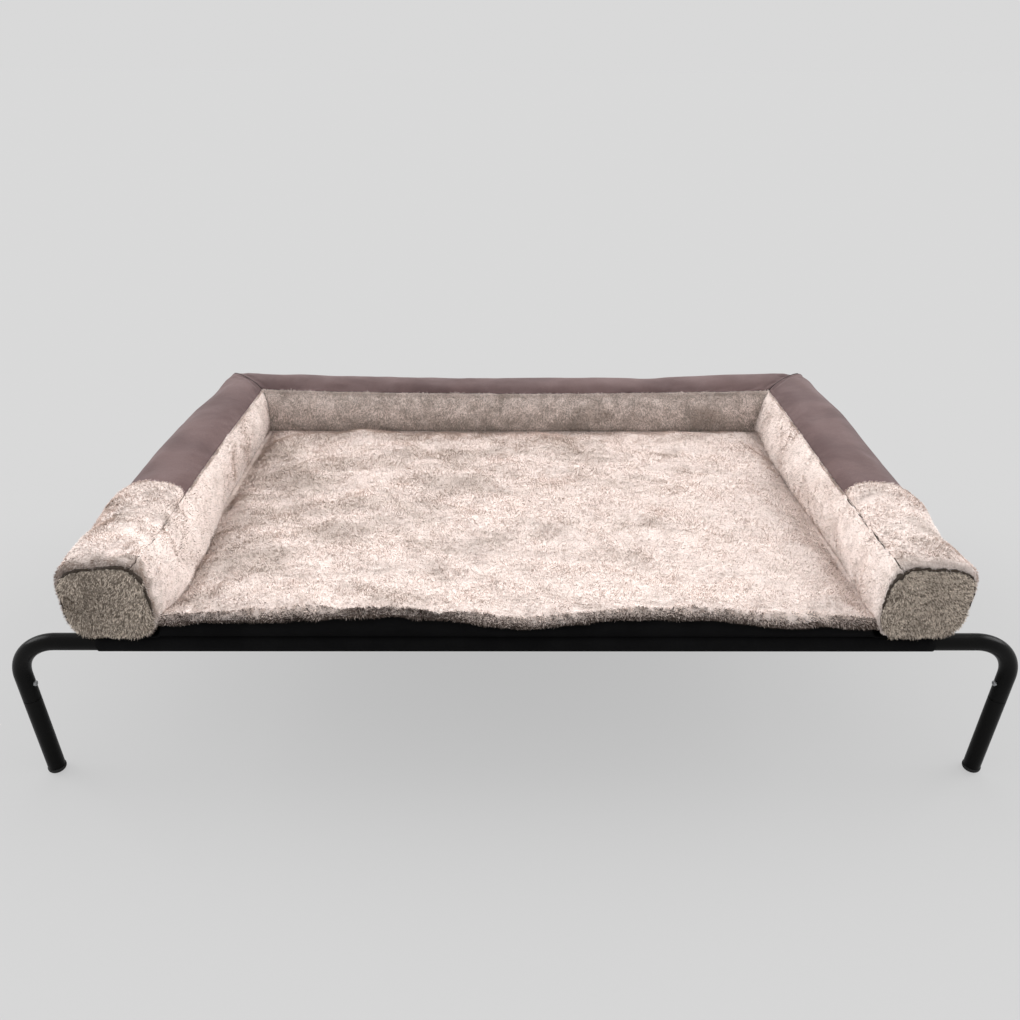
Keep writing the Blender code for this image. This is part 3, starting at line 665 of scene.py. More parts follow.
# Frame tubes
def round_bar(name, path, radii, side, up, sides=TUBE_SIDES, smooth_angle=40):
    """Closed round bar along a path, with a radius and two directions across at each point."""
    angles = np.arange(sides) * math.tau / sides
    cos, sin = np.cos(angles)[None, :, None], np.sin(angles)[None, :, None]
    across = cos * side[:, None, :] + sin * up[:, None, :]
    rings = np.array(path)[:, None, :] + np.array(radii)[:, None, None] * across
    last = (len(path) - 1) * sides
    faces = ring_faces(len(path) - 1, sides) + [range(sides), range(last, last + sides)]
    return tidy_normals(mesh_of(name, rings.reshape(-1, 3), faces, smooth_angle))


def make_rails():
    """Rails: straight along X, with both ends turned down."""
    for word in ("front", "rear"):
        low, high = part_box(f"{word}_rail")
        radius = (high.y - low.y) / 2
        y = (low.y + high.y) / 2
        leg_x = high.x - radius
        rail_z = high.z - radius
        half = [(leg_x, y, low.z), (leg_x, y, low.z + TUBE_EDGE)]
        for turn in math.pi / 2 * np.arange(BEND_STEPS + 1) / BEND_STEPS:
            half.append((leg_x - BEND_R + BEND_R * math.cos(turn), y,
                         rail_z - BEND_R + BEND_R * math.sin(turn)))
        path = np.array([(-x, y, z) for x, _, z in half] + half[::-1])
        radii = np.full(len(path), radius)
        radii[[0, -1]] -= TUBE_EDGE
        side = np.array([[0.0, 1.0, 0.0]])
        up = np.cross(unit(np.gradient(path, axis=0)), side)
        mesh = round_bar(f"{word}_rail_tube", path, radii, side, up)
        new_object(f"{word}_rail_tube", mesh, POWDER, "frame", [f"{word}_rail"])


def upright(name, node, outline, material):
    """Turned piece in place of a CAD node that stands upright, from its heights and radii."""
    low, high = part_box(node)
    path = [((low.x + high.x) / 2, (low.y + high.y) / 2, z) for z, _ in outline]
    across, back = np.array([[1.0, 0.0, 0.0]]), np.array([[0.0, 1.0, 0.0]])
    mesh = round_bar(name, path, [radius for _, radius in outline], across, back)
    new_object(name, mesh, material, "frame", [node])


def make_legs():
    """Leg tubes, with a narrower neck that goes up into the rail."""
    for corner in CORNERS:
        rail = corner.split("_")[0]
        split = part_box(f"{rail}_rail")[0].z - JOIN_GAP
        low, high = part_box(f"leg_{corner}")
        radius = (high.y - low.y) / 2
        neck = radius * NECK_SHARE
        outline = [(low.z, radius - TUBE_EDGE), (low.z + TUBE_EDGE, radius), (split - TUBE_EDGE, radius),
                   (split, radius - TUBE_EDGE), (split, neck), (high.z, neck)]
        upright(f"leg_tube_{corner}", f"leg_{corner}", outline, POWDER)


def make_feet():
    """Rubber feet with a rounded sole, and a plug that goes up into the leg."""
    for corner in CORNERS:
        low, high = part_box(f"foot_plug_{corner}")
        radius = (high.y - low.y) / 2
        plug = radius * PLUG_SHARE
        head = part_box(f"leg_{corner}")[0].z - JOIN_GAP
        outline = []
        for turn in math.pi / 2 * np.arange(FOOT_STEPS + 1) / FOOT_STEPS:
            outline.append((FOOT_CORNER * (1 - math.cos(turn)),
                            radius - FOOT_CORNER + FOOT_CORNER * math.sin(turn)))
        outline += [(head - FOOT_EDGE, radius), (head, radius - FOOT_EDGE), (head, plug), (high.z, plug)]
        upright(f"foot_{corner}", f"foot_plug_{corner}", outline, RUBBER)


def dress_frame():
    """Finishes for the CAD pieces that keep their own shape."""
    finishes = {"cross_tube": POWDER, "cross_stub": POWDER, "snap_button": ZINC, "cross_bolt": ZINC,
                "button_spring": STEEL}
    for name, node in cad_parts.items():
        for kind, material in finishes.items():
            if kind in name:
                node.data.materials.clear()
                node.data.materials.append(material)


# Bolster grids
def rounded(u, v, power=SECTION_POWER):
    """Lays square coordinates on a rounded square of the bolster's section."""
    reach = np.maximum(np.abs(u), np.abs(v))
    safe = np.maximum(reach, 1e-9)
    a = np.where(reach > 0, u / safe, 1.0)
    b = v / safe
    share = (np.abs(a) ** power + np.abs(b) ** power) ** (-1 / power)
    return a * share * reach, b * share * reach


class Tube:
    """Closed tube of square cells: rings from the front to the back, and a capped end at each.

    A ring goes up the inner side, over the top, down outside and back underneath. Its coordinates u and
    v run from -1 to 1, outwards and upwards.
    """

    def __init__(self, n, rows):
        self.n, self.rows = n, rows
        self.ring = 4 * n
        self.skin = (rows + 1) * self.ring
        t = np.arange(n) / n * 2 - 1
        one = np.ones(n)
        self.u = np.concatenate([-one, t, one, -t])
        self.v = np.concatenate([t, one, -t, -one])
        grid = np.arange(n + 1) / n * 2 - 1
        self.inside = np.zeros((n + 1, n + 1), bool)
        self.inside[1:-1, 1:-1] = True
        self.cap_u, self.cap_v = (way[self.inside] for way in np.meshgrid(grid, grid, indexing="ij"))
        sides = ring_faces(rows, self.ring)
        self.faces = sides + self.cap(0, self.skin) + self.cap(rows, self.skin + len(self.cap_u))
        self.kind = np.repeat(["side", "front", "back"], [len(sides), n * n, n * n])
        self.row_of = np.concatenate([np.repeat(np.arange(rows), self.ring), np.zeros(n * n, int),
                                      np.full(n * n, rows)])
        self.col_of = np.concatenate([np.tile(np.arange(self.ring), rows), np.zeros(2 * n * n, int)])

    def cap(self, row, first):
        """Faces of an end, from its first inner point and the ring round it."""
        n = self.n
        index = np.zeros((n + 1, n + 1), int)
        index[self.inside] = first + np.arange(len(self.cap_u))
        for k in range(self.ring):
            i = round((self.u[k] + 1) / 2 * n)
            j = round((self.v[k] + 1) / 2 * n)
            index[i, j] = row * self.ring + k
        return [(index[i, j], index[i + 1, j], index[i + 1, j + 1], index[i, j + 1])
                for i in range(n) for j in range(n)]

    def section(self):
        """Coordinates u and v and the row of every point: the rings first, then both ends."""
        u = np.concatenate([np.tile(self.u, self.rows + 1), self.cap_u, self.cap_u])
        v = np.concatenate([np.tile(self.v, self.rows + 1), self.cap_v, self.cap_v])
        row = np.concatenate([np.repeat(np.arange(self.rows + 1), self.ring),
                              np.zeros(len(self.cap_u)), np.full(len(self.cap_u), self.rows)])
        return u, v, row

    def top_edge(self, points):
        """Points along the top edge of the inner side, from the front to the back."""
        return points[np.arange(0, self.rows + 1) * self.ring + self.n]


# Pad sizes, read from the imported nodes
CAP_LOW, CAP_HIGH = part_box("right_end_cap")
ARM_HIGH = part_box("right_bolster_suede")[1]
BACK_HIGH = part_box("back_bolster_suede")[1]
BASE_LOW, BASE_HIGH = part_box("base_panel")
SIDE_ROOM = 0.0006
TOP_ROOM = 0.0008
UNDER_ROOM = 0.0018
PAD_BASE = BASE_LOW.z
PAD_FRONT = BASE_LOW.y
HALF_W = (ARM_HIGH.x - CAP_LOW.x + SIDE_ROOM) / 2
ARM_X = ARM_HIGH.x - HALF_W
BACK_Y = BACK_HIGH.y - HALF_W
MITRE = ARM_HIGH.x - BACK_HIGH.y
BOLSTER_TOP = CAP_HIGH.z + TOP_ROOM
HALF_H = (BOLSTER_TOP - PAD_BASE + UNDER_ROOM) / 2
BOLSTER_Z = BOLSTER_TOP - HALF_H
CAP_Y = PAD_FRONT + CAP_SETBACK
MAT_HALF = ARM_X - HALF_W
MAT_BACK = BACK_Y - HALF_W
MAT_TOP = PAD_BASE + MAT_RISE
PLUSH_ROWS = round(PLUSH_LENGTH / ROW_STEP)
SUEDE_ROWS = round((BACK_Y - PAD_FRONT - PLUSH_LENGTH) / ROW_STEP)
BACK_ROWS = round(2 * ARM_X / ROW_STEP)


# Bolsters at rest, before they are filled
def height_share(z):
    """Height in a bolster, from 0 at the pad's floor to 1 at its top."""
    return np.clip((z - PAD_BASE) / (BOLSTER_TOP - PAD_BASE), 0, 1)


def settled(x, y, z):
    """Height of a bolster's point once it slumps towards the back, and its middle."""
    middle = 1 - np.minimum(1.0, (x / ARM_X) ** 2)
    slump = smooth(BACK_Y - SLUMP_REACH, BACK_Y, y) * (BACK_SLUMP + MIDDLE_SLUMP * middle)
    return np.maximum(z - slump * height_share(z), PAD_BASE + FLOOR_CLEAR)


def sunk(u, v, gap):
    """How deep the skin starts below the full shape: at a seam it stays there, elsewhere it swells."""
    corner = np.hypot(u + 1, v - 1) * HALF_W
    near = np.maximum(np.exp(-(gap / SEAM_WIDTH) ** 2), np.exp(-(corner / SEAM_WIDTH) ** 2))
    return SLACK + (SEAM_DEPTH - SLACK) * near


def roll_radius(a, b):
    """Radius of an arm's front edge: wide over the top, tight at the sides and below."""
    return ROLL_TIGHT + ROLL_TOP * smooth(0.35, 0.95, b) + ROLL_SIDE * smooth(0.4, 0.95, -a)


def plush_edge(word, u):
    """Where the plush sleeve of an arm ends and its suede starts, at places across the section."""
    back, droop = EDGE_BEND[word]
    return PAD_FRONT + PLUSH_LENGTH + back * u - droop * np.clip(u, 0, 1) ** 2


def dropped(a, b, gap):
    """How far the outer top edge drops where two bolsters meet, which rounds that corner."""
    high = np.clip(a, 0, 1) ** 2 * np.clip(b, 0, 1) ** 2
    return CORNER_DROP * high * np.exp(-(gap / CORNER_REACH) ** 2)


def pulled_in(a, gap):
    """How far the outer side is drawn in where two bolsters meet, which rounds that corner."""
    return CORNER_IN * np.clip(a, 0, 1) ** 3 * np.exp(-(gap / CORNER_REACH) ** 2)


def front_power(v, row):
    """Squareness of an arm's section: boxy at the top of its front end, softer elsewhere."""
    ahead = 1 - smooth(0.0, 0.7, row / PLUSH_ROWS)
    return SECTION_POWER + FRONT_SQUARE * ahead * smooth(-0.3, 0.5, v)


def bulge(word, a, y):
    """How far an arm's outer side stands out at places along it."""
    return evened(BULGE[word], y, ARM_EVENING) * np.clip(a, 0, 1) ** 1.5


def arm_depth(word, u, row, mitre):
    """Places along an arm: rows crowd at its front, and its last one lies on the mitre."""
    edge = plush_edge(word, u)
    front_share = np.clip(row / PLUSH_ROWS, 0, 1) ** FRONT_CROWD
    back_share = np.clip((row - PLUSH_ROWS) / SUEDE_ROWS, 0, 1)
    return CAP_Y + (edge - CAP_Y) * front_share + (mitre - edge) * back_share


def arm_shape(word, u, v, row):
    """Points of an arm from arrays of the section and the row."""
    reach = np.maximum(np.abs(u), np.abs(v))
    a, b = rounded(u, v, front_power(v, row))
    safe = np.maximum(reach, 1e-6)
    roll = roll_radius(a / safe, b / safe)
    mitre = ARM_X + a * (HALF_W - SEAM_DEPTH) - pulled_in(a, 0.0) - MITRE
    y = arm_depth(word, u, row, mitre)
    turn = 1 - np.clip((y - CAP_Y) / roll, 0, 1)
    rounding = roll * (1 - np.sqrt(1 - turn ** 2))
    gap = np.abs(mitre - y)
    inset = rounding + sunk(u, v, gap) * smooth(*SLACK_STARTS, y - CAP_Y)
    x = ARM_X + a * (HALF_W - inset) - pulled_in(a, gap)
    z = BOLSTER_Z + b * (HALF_H - inset) - dropped(a, b, gap)
    y = y - CAP_CROWN * (1 - reach ** 4) * (row == 0)
    high = height_share(z)
    spread = evened(FOOT_SPREAD[word], y, ARM_EVENING) * (1 - high) ** 1.5 * np.clip(-a, 0, 1)
    outer = bulge(word, a, y)
    x = x - spread + outer
    ahead = 1 - smooth(0.0, DROOP_REACH, y - PAD_FRONT)
    z = z + high * (BULGE_RISE * outer - FRONT_DROOP[word] * a * ahead)
    if word == "left":
        return np.stack([-x, y, settled(x, y, z)], axis=1)
    x = x + RIGHT_LEAN * smooth(*ARM_LEANS, y) * high
    return np.stack([x, y, settled(x, y, z)], axis=1)


def back_shape(u, v, row):
    """Points of the back bolster, whose ends follow the arms' ends."""
    a, b = rounded(u, v)
    share = row / BACK_ROWS * 2 - 1
    limit = BACK_Y + a * (HALF_W - SEAM_DEPTH) - pulled_in(a, 0.0) + MITRE
    gap = limit * (1 - np.abs(share))
    inset = sunk(u, v, gap)
    y = BACK_Y + a * (HALF_W - inset) - pulled_in(a, gap)
    x = share * limit
    z = settled(x, y, BOLSTER_Z + b * (HALF_H - inset) - dropped(a, b, gap))
    high = height_share(z)
    near_arm = smooth(*BACK_LEANS, x)
    outer = bulge("right", a, y) * near_arm
    return np.stack([x + outer + RIGHT_LEAN * near_arm * high, y, z + BULGE_RISE * outer * high], axis=1)


def held_points(tube, word):
    """How firmly each point of a bolster is held while it fills: at its seams and underneath."""
    u, v, _ = tube.section()
    hold = 1 - smooth(-0.95, -0.55, v)
    seam = np.hypot(u + 1, v - 1) < 0.5 / tube.n
    hold[seam] = 1.0
    hold[:tube.ring] = 1.0
    hold[tube.skin - tube.ring:tube.skin] = 1.0
    hold[tube.skin:] = 1.0
    if word != "back":
        hold[tube.skin:tube.skin + len(tube.cap_u)] = 0.0
    return hold


# Filling
class Filling:
    """Cloth simulations of the pad's pieces, run together over the same frames."""

    def __init__(self):
        self.jobs = {}

    def add(self, name, points, faces, hold, growth, reach):
        made = linked(f"{name}_cloth", mesh_of(f"{name}_cloth", points, faces))
        group = made.vertex_groups.new(name="held")
        levels = np.round(hold, 1)
        for level in np.unique(levels):
            group.add(np.flatnonzero(levels == level).tolist(), float(level), "REPLACE")
        self.press(made, growth)
        self.jobs[name] = (made, points, reach)

    def press(self, made, growth):
        cloth = made.modifiers.new("cloth", "CLOTH")
        cloth.point_cache.frame_start = 1
        cloth.point_cache.frame_end = FRAMES
        settings = cloth.settings
        settings.quality = 5
        settings.use_pressure = True
        settings.uniform_pressure_force = PRESSURE
        settings.vertex_group_mass = "held"
        settings.bending_stiffness = 0.6
        settings.shrink_min = -growth
        settings.effector_weights.gravity = 0

    def run(self):
        """Fills every piece and returns its points, each moved no further than its reach."""
        scene = bpy.context.scene
        for number in range(1, FRAMES + 1):
            scene.frame_set(number)
        graph = bpy.context.evaluated_depsgraph_get()
        filled = {}
        for name, (made, points, reach) in self.jobs.items():
            shape = made.evaluated_get(graph).to_mesh()
            moved = values_of(shape.vertices, "co") - points
            far = np.maximum(np.linalg.norm(moved, axis=1), 1e-9)
            moved *= (reach * np.tanh(far / reach) / far)[:, None]
            filled[name] = points + moved
        for made, _, _ in self.jobs.values():
            bpy.data.objects.remove(made)
        scene.frame_set(1)
        return filled


def calmed(tube, start, end, first):
    """Evens out the short wrinkles that the filling leaves along a bolster's suede."""
    moved = (end - start)[:tube.skin].reshape(tube.rows + 1, tube.ring, 3)
    wider = np.concatenate([np.repeat(moved[:1], CALM_ROWS, 0), moved, np.repeat(moved[-1:], CALM_ROWS, 0)])
    even = sum(wider[i:i + tube.rows + 1] for i in range(2 * CALM_ROWS + 1)) / (2 * CALM_ROWS + 1)
    row = np.arange(tube.rows + 1)
    along_it = smooth(first, first + CALM_START, row) * smooth(0, CALM_END, tube.rows - row)
    share = along_it[:, None] * smooth(-1.0, -0.6, tube.u)[None, :]
    calm = end.copy()
    calm[:tube.skin] += ((even - moved) * share[:, :, None]).reshape(-1, 3)
    return calm


# Panels
def panel(name, points, faces, material, replaces, thick=COVER):
    """Cover panel: the chosen faces with the cloth's thickness behind them.

    Its reach mark, as on the fur's blades, says how pale the plush is: darker near the front seams, partly
    painted shade.
    """
    used, index = np.unique(np.array(faces), return_inverse=True)
    mesh = mesh_of(name, points[used], index.reshape(np.array(faces).shape))
    tone = front_tone(points[used])
    shade = 0.0 if material is CAP_PLUSH else front_shade(points[used], tone)
    mark_reach(mesh, PANEL_TONE * tone - shade)
    made = new_object(name, mesh, material, "pad", replaces)
    thicken(made, thick)
    soft = made.modifiers.new("soft", "SUBSURF")
    soft.levels = 1
    soft.render_levels = 1
    return made


def by_side(points, values):
    """The left arm's value at points to the left, and the right arm's at the others."""
    return np.where(points[:, 0] < 0, values["left"], values["right"])


def front_tone(points):
    """How pale an arm's pile is: its dark roots show where it bends over the front edge, and painted shade
    makes the left darker.
    """
    edge = TONE_EDGE_WAVE * field(points, TONE_EDGE_SIZE, 71)
    on_mat = np.abs(points[:, 0]) < MAT_HALF - SLEEVE_FOOT
    tone = smooth(*TONE_RISES, points[:, 1] - PAD_FRONT + edge)
    least = by_side(points, FRONT_TONE)
    return np.where(on_mat, 1.0, least + (1 - least) * tone)


def front_shade(points, tone):
    """Painted shade: how much darker than its roots the pile gets there, more on the left arm than on the
    right.
    """
    return (1 - tone) * by_side(points, FRONT_SHADE)


def raised_sleeve(tube, points, faces):
    """Points of an arm's plush sleeve: it stands on the filled skin, with folds and a raised rim."""
    u, v, rows = tube.section()
    after = rows - PLUSH_ROWS
    folds = SLEEVE_FOLD * field(points * np.array([0.25, 1.0, 0.5]), SLEEVE_FOLD_SIZE, 51)
    folds = folds * smooth(2, 8, rows) * (1 - smooth(-4, -1, after))
    corner = smooth(0.0, 0.25, np.hypot(u + 1, v - 1))
    rise = SLEEVE_PROUD * smooth(0, 8, rows) + SLEEVE_RIM * smooth(-7, -2, after) + folds
    skin = mesh_of("skin", points, faces)
    out = values_of(skin.vertex_normals, "vector")
    bpy.data.meshes.remove(skin)
    return points + out * (rise * corner * smooth(-1.0, -0.7, v))[:, None]


def split_bolster(word, tube, faces, points):
    """Splits a filled bolster into its sewn panels and returns them by name."""
    inner = (tube.kind == "side") & (tube.col_of < tube.n)
    rest = (tube.kind == "side") & ~inner
    suede = rest if word == "back" else rest & (tube.row_of >= PLUSH_ROWS - 1)
    made = {"suede": panel(f"{word}_bolster_cover", points, faces[suede], SUEDE,
                           [f"{word}_bolster_suede", f"{word}_bolster_fill"])}
    if word != "back":
        sleeve_faces = faces[rest & (tube.row_of < PLUSH_ROWS)]
        made["plush"] = panel(f"{word}_arm_sleeve", raised_sleeve(tube, points, faces), sleeve_faces,
                              PLUSH, [f"{word}_arm_plush"], thick=SLEEVE_THICK)
    made["inner"] = panel(f"{word}_inner_panel", points, faces[inner],
                          PLUSH if word == "back" else INNER_PLUSH, [f"{word}_inner_plush"])
    if word != "back":
        made["cap"] = panel(f"{word}_end_panel", points, faces[tube.kind == "front"], CAP_PLUSH,
                            [f"{word}_end_cap"])
    return made


# Seams
def thread(name, path, radii, material, slot):
    """Sewn seam: a thin round cord along a path, with a radius at each of its points."""
    ahead = unit(np.gradient(path, axis=0))
    side = unit(np.cross(ahead, np.array(THREAD_SIDE)))
    mesh = round_bar(name, path, radii, side, np.cross(ahead, side), THREAD_SIDES, 60)
    return new_object(name, mesh, material, "pad")


def uneven(path, radii, seed, side_shift, sink):
    """Seam that wanders a little, swells and thins, and sinks into the pile in places."""
    shift = np.stack([field(path, WANDER_SIZE, seed + i) for i in range(3)], axis=1) * side_shift
    deep = smooth(0.1, 1.2, field(path, SINK_SIZE, seed + 4)) * sink
    wide = radii * (1 + THREAD_SWELL * field(path, SWELL_SIZE, seed + 5))
    return path + shift - np.array([0, 0, 1.0]) * deep[:, None], np.maximum(wide, THREAD_LEAST)


def sew_arm(word, tube, points):
    """Seam round the end panel, and the one along the top edge of the plush sleeve."""
    start = tube.n // 3
    order = np.arange(start, 3 * tube.n) % tube.ring
    path = points[order]
    u, v = tube.u[order], tube.v[order]
    wide = CAP_THREAD + CAP_THREAD_TOP * smooth(0.5, 0.95, v) + CAP_THREAD_SIDE * smooth(0.6, 0.98, -u)
    number = np.arange(len(u))
    wide *= smooth(0, 4, np.minimum(number, number[::-1]) + 1.0)
    bent, wide = uneven(path - np.array([0, CAP_THREAD_PROUD, 0]), wide, 30, CAP_THREAD_WANDER, 0.0)
    thread(f"{word}_cap_seam", bent, wide, THREAD, "plush")
    edge = tube.top_edge(points)
    low, radius = SLEEVE_THREAD[word]
    bent, wide = uneven(edge[:PLUSH_ROWS] - np.array([0, 0, low]), np.full(PLUSH_ROWS, radius), 40,
                        SLEEVE_THREAD_WANDER, SLEEVE_THREAD_SINK)
    thread(f"{word}_sleeve_seam", bent, wide, THREAD, "plush")
    return {"cap": (path, SEAM_CLEAR), "edge": (edge[PLUSH_ROWS:], 0.0)}


def sew_back(tube, points):
    """Mitre seams, where the back bolster meets the arms."""
    for word, row in (("left", 0), ("right", tube.rows)):
        order = row * tube.ring + np.arange(tube.n + 1, 2 * tube.n - 4)
        path = points[order] - np.array([0, 0, MITRE_THREAD_SINK])
        thread(f"{word}_mitre_seam", path, np.full(len(order), MITRE_THREAD), SUEDE_THREAD, "suede")
    return {"edge": (tube.top_edge(points), 0.0)}


# Mat
def hem_wave(x):
    """Height of the front hem's wave, from 0 where it hangs lowest to 1 at its crests."""
    return evened(HEM_WAVE, x, HEM_EVENING)


def hem_height(x):
    return HEM_LOW + HEM_LIFT * hem_wave(x)


def hem_front(x):
    return PAD_FRONT + HEM_GAP + HEM_SETBACK * hem_wave(x)


def creases(x, y):
    """Soft folds drawn into the mat: each a valley of some depth and width along a short line."""
    total = np.zeros_like(x)
    for ax, ay, bx, by, depth, width in MAT_FOLDS:
        along_x, along_y = bx - ax, by - ay
        size = math.hypot(along_x, along_y)
        share = ((x - ax) * along_x + (y - ay) * along_y) / size ** 2
        off = ((x - ax) * along_y - (y - ay) * along_x) / size
        ends = smooth(-0.25, 0.2, share) * (1 - smooth(0.8, 1.25, share))
        total += depth * ends * np.exp(-(off / width) ** 2)
    return total


def mat_top(x, y):
    """Top of the mat: soft undulations, drawn down to the seams of the bolsters."""
    def fall(distance):
        share = np.clip(distance / MAT_SOFT_EDGE, 0, 1)
        return 1 - np.sin(share * math.pi / 2)
    open_front = smooth(0, OPEN_FRONT, y - PAD_FRONT)
    drop = np.maximum(fall(MAT_HALF - np.abs(x)) * open_front, fall(MAT_BACK - y))
    flat = np.stack([x, y, np.zeros_like(x)], axis=1)
    wave = sum(height * field(flat, size, seed) for height, size, seed in MAT_WAVES)
    crest = HEM_CREST * hem_wave(x) * (1 - smooth(*HEM_CREST_ENDS, y - PAD_FRONT))
    return MAT_TOP + crest + (wave - creases(x, y)) * (1 - drop) - (MAT_RISE - MAT_EDGE) * drop


def mat_grid():
    """Points and faces of the mat's skin, column by column from its back edge to the front hem.

    The third result is the row of each point, counted from the back.
    """
    half = MAT_HALF + MAT_UNDER
    columns = round(2 * half / MAT_CELL)
    depth_rows = round((MAT_BACK - PAD_FRONT) / MAT_CELL)
    x = np.linspace(-half, half, columns + 1)
    back = MAT_BACK + MAT_UNDER
    front = hem_front(x) + MAT_ROLL
    y = back + (front[:, None] - back) * np.linspace(0, 1, depth_rows + 1)[None, :]
    across = np.repeat(x[:, None], depth_rows + 1, axis=1)
    z = mat_top(across.ravel(), y.ravel()).reshape(y.shape)
    sheet = [np.stack([across, y, z], axis=2)]
    low = hem_height(x)
    for turn in math.pi / 2 * np.arange(1, MAT_ROLL_STEPS + 1) / MAT_ROLL_STEPS:
        rolled = [x, front - MAT_ROLL * math.sin(turn), low + (z[:, -1] - low) * math.cos(turn)]
        sheet.append(np.stack(rolled, axis=1)[:, None, :])
    for share in (0.5, 1.0):
        tucked = [x, front - MAT_ROLL + HEM_TUCK * share, low + BASE_THICK * share]
        sheet.append(np.stack(tucked, axis=1)[:, None, :])
    sheet = np.concatenate(sheet, axis=1)
    rows = sheet.shape[1]
    return sheet.reshape(-1, 3), grid_faces(columns, rows), np.tile(np.arange(rows), columns + 1)


def mat_hold(points, row):
    """How firmly each point of the mat is held while it fills: at its sides, back and front roll."""
    hold = smooth(row.max() - ROLL_HELD_FROM, row.max() - ROLL_HELD_TO, row)
    hold[np.abs(points[:, 0]) > MAT_HALF - MAT_HELD] = 1.0
    hold[points[:, 1] > MAT_BACK - MAT_HELD] = 1.0
    return hold


def make_base():
    """Charcoal bottom cloth: laid on the sling, and turned up in front to meet the mat's hem."""
    half = BASE_HIGH.x
    x = np.linspace(-half, half, BASE_STATIONS)
    inside = 1 - smooth(*RISE_ENDS, np.abs(x) - MAT_HALF)
    floor = PAD_BASE + BASE_LIFT
    top = floor + BASE_THICK + inside * (hem_height(x) - HEM_GAP - floor - BASE_THICK)
    rows = [np.stack([x, np.full_like(x, y), np.full_like(x, floor)], axis=1)
            for y in np.linspace(BASE_HIGH.y, PAD_FRONT + RISE_START, BASE_ROWS)]
    for share in np.linspace(0, 1, RISE_ROWS):
        belly = RISE_BELLY * math.sin(math.pi * min(1.0, share * 1.15))
        lean = HEM_SETBACK * hem_wave(x) * share ** 1.5 * inside
        ripple = RIPPLE * np.sin(x * RIPPLES + 3 * share) * math.sin(math.pi * share)
        y = PAD_FRONT + RISE_SETBACK - belly + lean + ripple
        rows.append(np.stack([x, y, floor + RISE_LIFT + (top - floor - RISE_LIFT) * share], axis=1))
    sheet = np.stack(rows, axis=1)
    mesh = mesh_of("base_sheet", sheet.reshape(-1, 3), grid_faces(len(x) - 1, len(rows)))
    made = new_object("base_sheet", mesh, BASE, "pad", ["base_panel"])
    thicken(made, BASE_THICK)


def make_pad():
    """Fills the bolsters and the mat together, then splits them into panels and sews them."""
    filling = Filling()
    tubes = {word: Tube(SIDE_CELLS, PLUSH_ROWS + SUEDE_ROWS) for word in ("left", "right")}
    tubes["back"] = Tube(SIDE_CELLS, BACK_ROWS)
    skins, unfilled = {}, {}
    for word, tube in tubes.items():
        section = tube.section()
        points = back_shape(*section) if word == "back" else arm_shape(word, *section)
        unfilled[word] = points
        mesh = tidy_normals(mesh_of(f"{word}_whole", points, tube.faces))
        skins[word] = np.array([tuple(p.vertices) for p in mesh.polygons])
        bpy.data.meshes.remove(mesh)
        filling.add(word, points, skins[word], held_points(tube, word), BOLSTER_GROWTH, BOLSTER_REACH)
    grid, faces, row = mat_grid()
    filling.add("mat", grid, faces, mat_hold(grid, row), MAT_GROWTH, MAT_REACH)
    filled = filling.run()
    parts, seams = {}, {}
    for word, tube in tubes.items():
        first = 0 if word == "back" else PLUSH_ROWS
        points = calmed(tube, unfilled[word], filled[word], first)
        parts[word] = split_bolster(word, tube, skins[word], points)
        seams[word] = sew_back(tube, points) if word == "back" else sew_arm(word, tube, points)
    top = panel("mat_top_panel", filled["mat"], faces, TOP_PLUSH, ["mat_plush", "mat_fill"],
                thick=MAT_COVER)
    parts["mat"] = {"top": top}
    make_base()
    return parts, seams


# Sling
def sleeve(edge, tube_z, radius):
    """Half section of a sleeved sheet: hem, once round the tube at its edge, then the flat sheet."""
    hem_z = radius - CLOTH - SLING_HEM_GAP
    start = math.atan2(hem_z, -SLING_HEM) + math.acos(radius / math.hypot(SLING_HEM, hem_z))
    sweep = math.tau + math.pi / 2 - start
    points = [(edge - SLING_HEM, tube_z + hem_z)]
    for turn in start + sweep * np.arange(SLEEVE_STEPS + 1) / SLEEVE_STEPS:
        points.append((edge + radius * math.cos(turn), tube_z + radius * math.sin(turn)))
    return points


def make_sling():
    """Sheet sleeved over both rails, and a strip at each end sleeved over a cross tube."""
    rail_low, rail_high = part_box("front_rail")
    cross_low, cross_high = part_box("right_cross_tube")
    rail_y = -(rail_low.y + rail_high.y) / 2
    tube_z = rail_high.z - (rail_high.y - rail_low.y) / 2
    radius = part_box("sling")[1].y - rail_y - CLOTH / 2
    cross_x = (cross_low.x + cross_high.x) / 2
    half = cross_x - SHEET_INSET
    lap = half - STRIP_LAP
    section = sleeve(rail_y, tube_z, radius)
    path = section + [(-y, z) for y, z in section[::-1]]
    make_cloth("sling_sheet", path, np.linspace(-half, half, SHEET_STATIONS), False, ["sling"])
    end = sleeve(cross_x, tube_z, radius) + [(lap, tube_z + radius - CLOTH)]
    for side, word in ((-1, "left"), (1, "right")):
        path = [(side * x, z) for x, z in end]
        make_cloth(f"sling_end_{word}", path, np.linspace(-STRIP_REACH, STRIP_REACH, STRIP_STATIONS),
                   True, [])


def make_cloth(name, path, stations, along_y, replaces):
    """Stretched cloth with one section all along it, which lies in YZ, or in XZ where it runs in Y."""
    points = [(c, s, z) if along_y else (s, c, z) for s in stations for c, z in path]
    mesh = mesh_of(name, points, grid_faces(len(stations) - 1, len(path)), 50)
    made = new_object(name, mesh, SLING, "frame", replaces)
    thicken(made, CLOTH, 0.0)


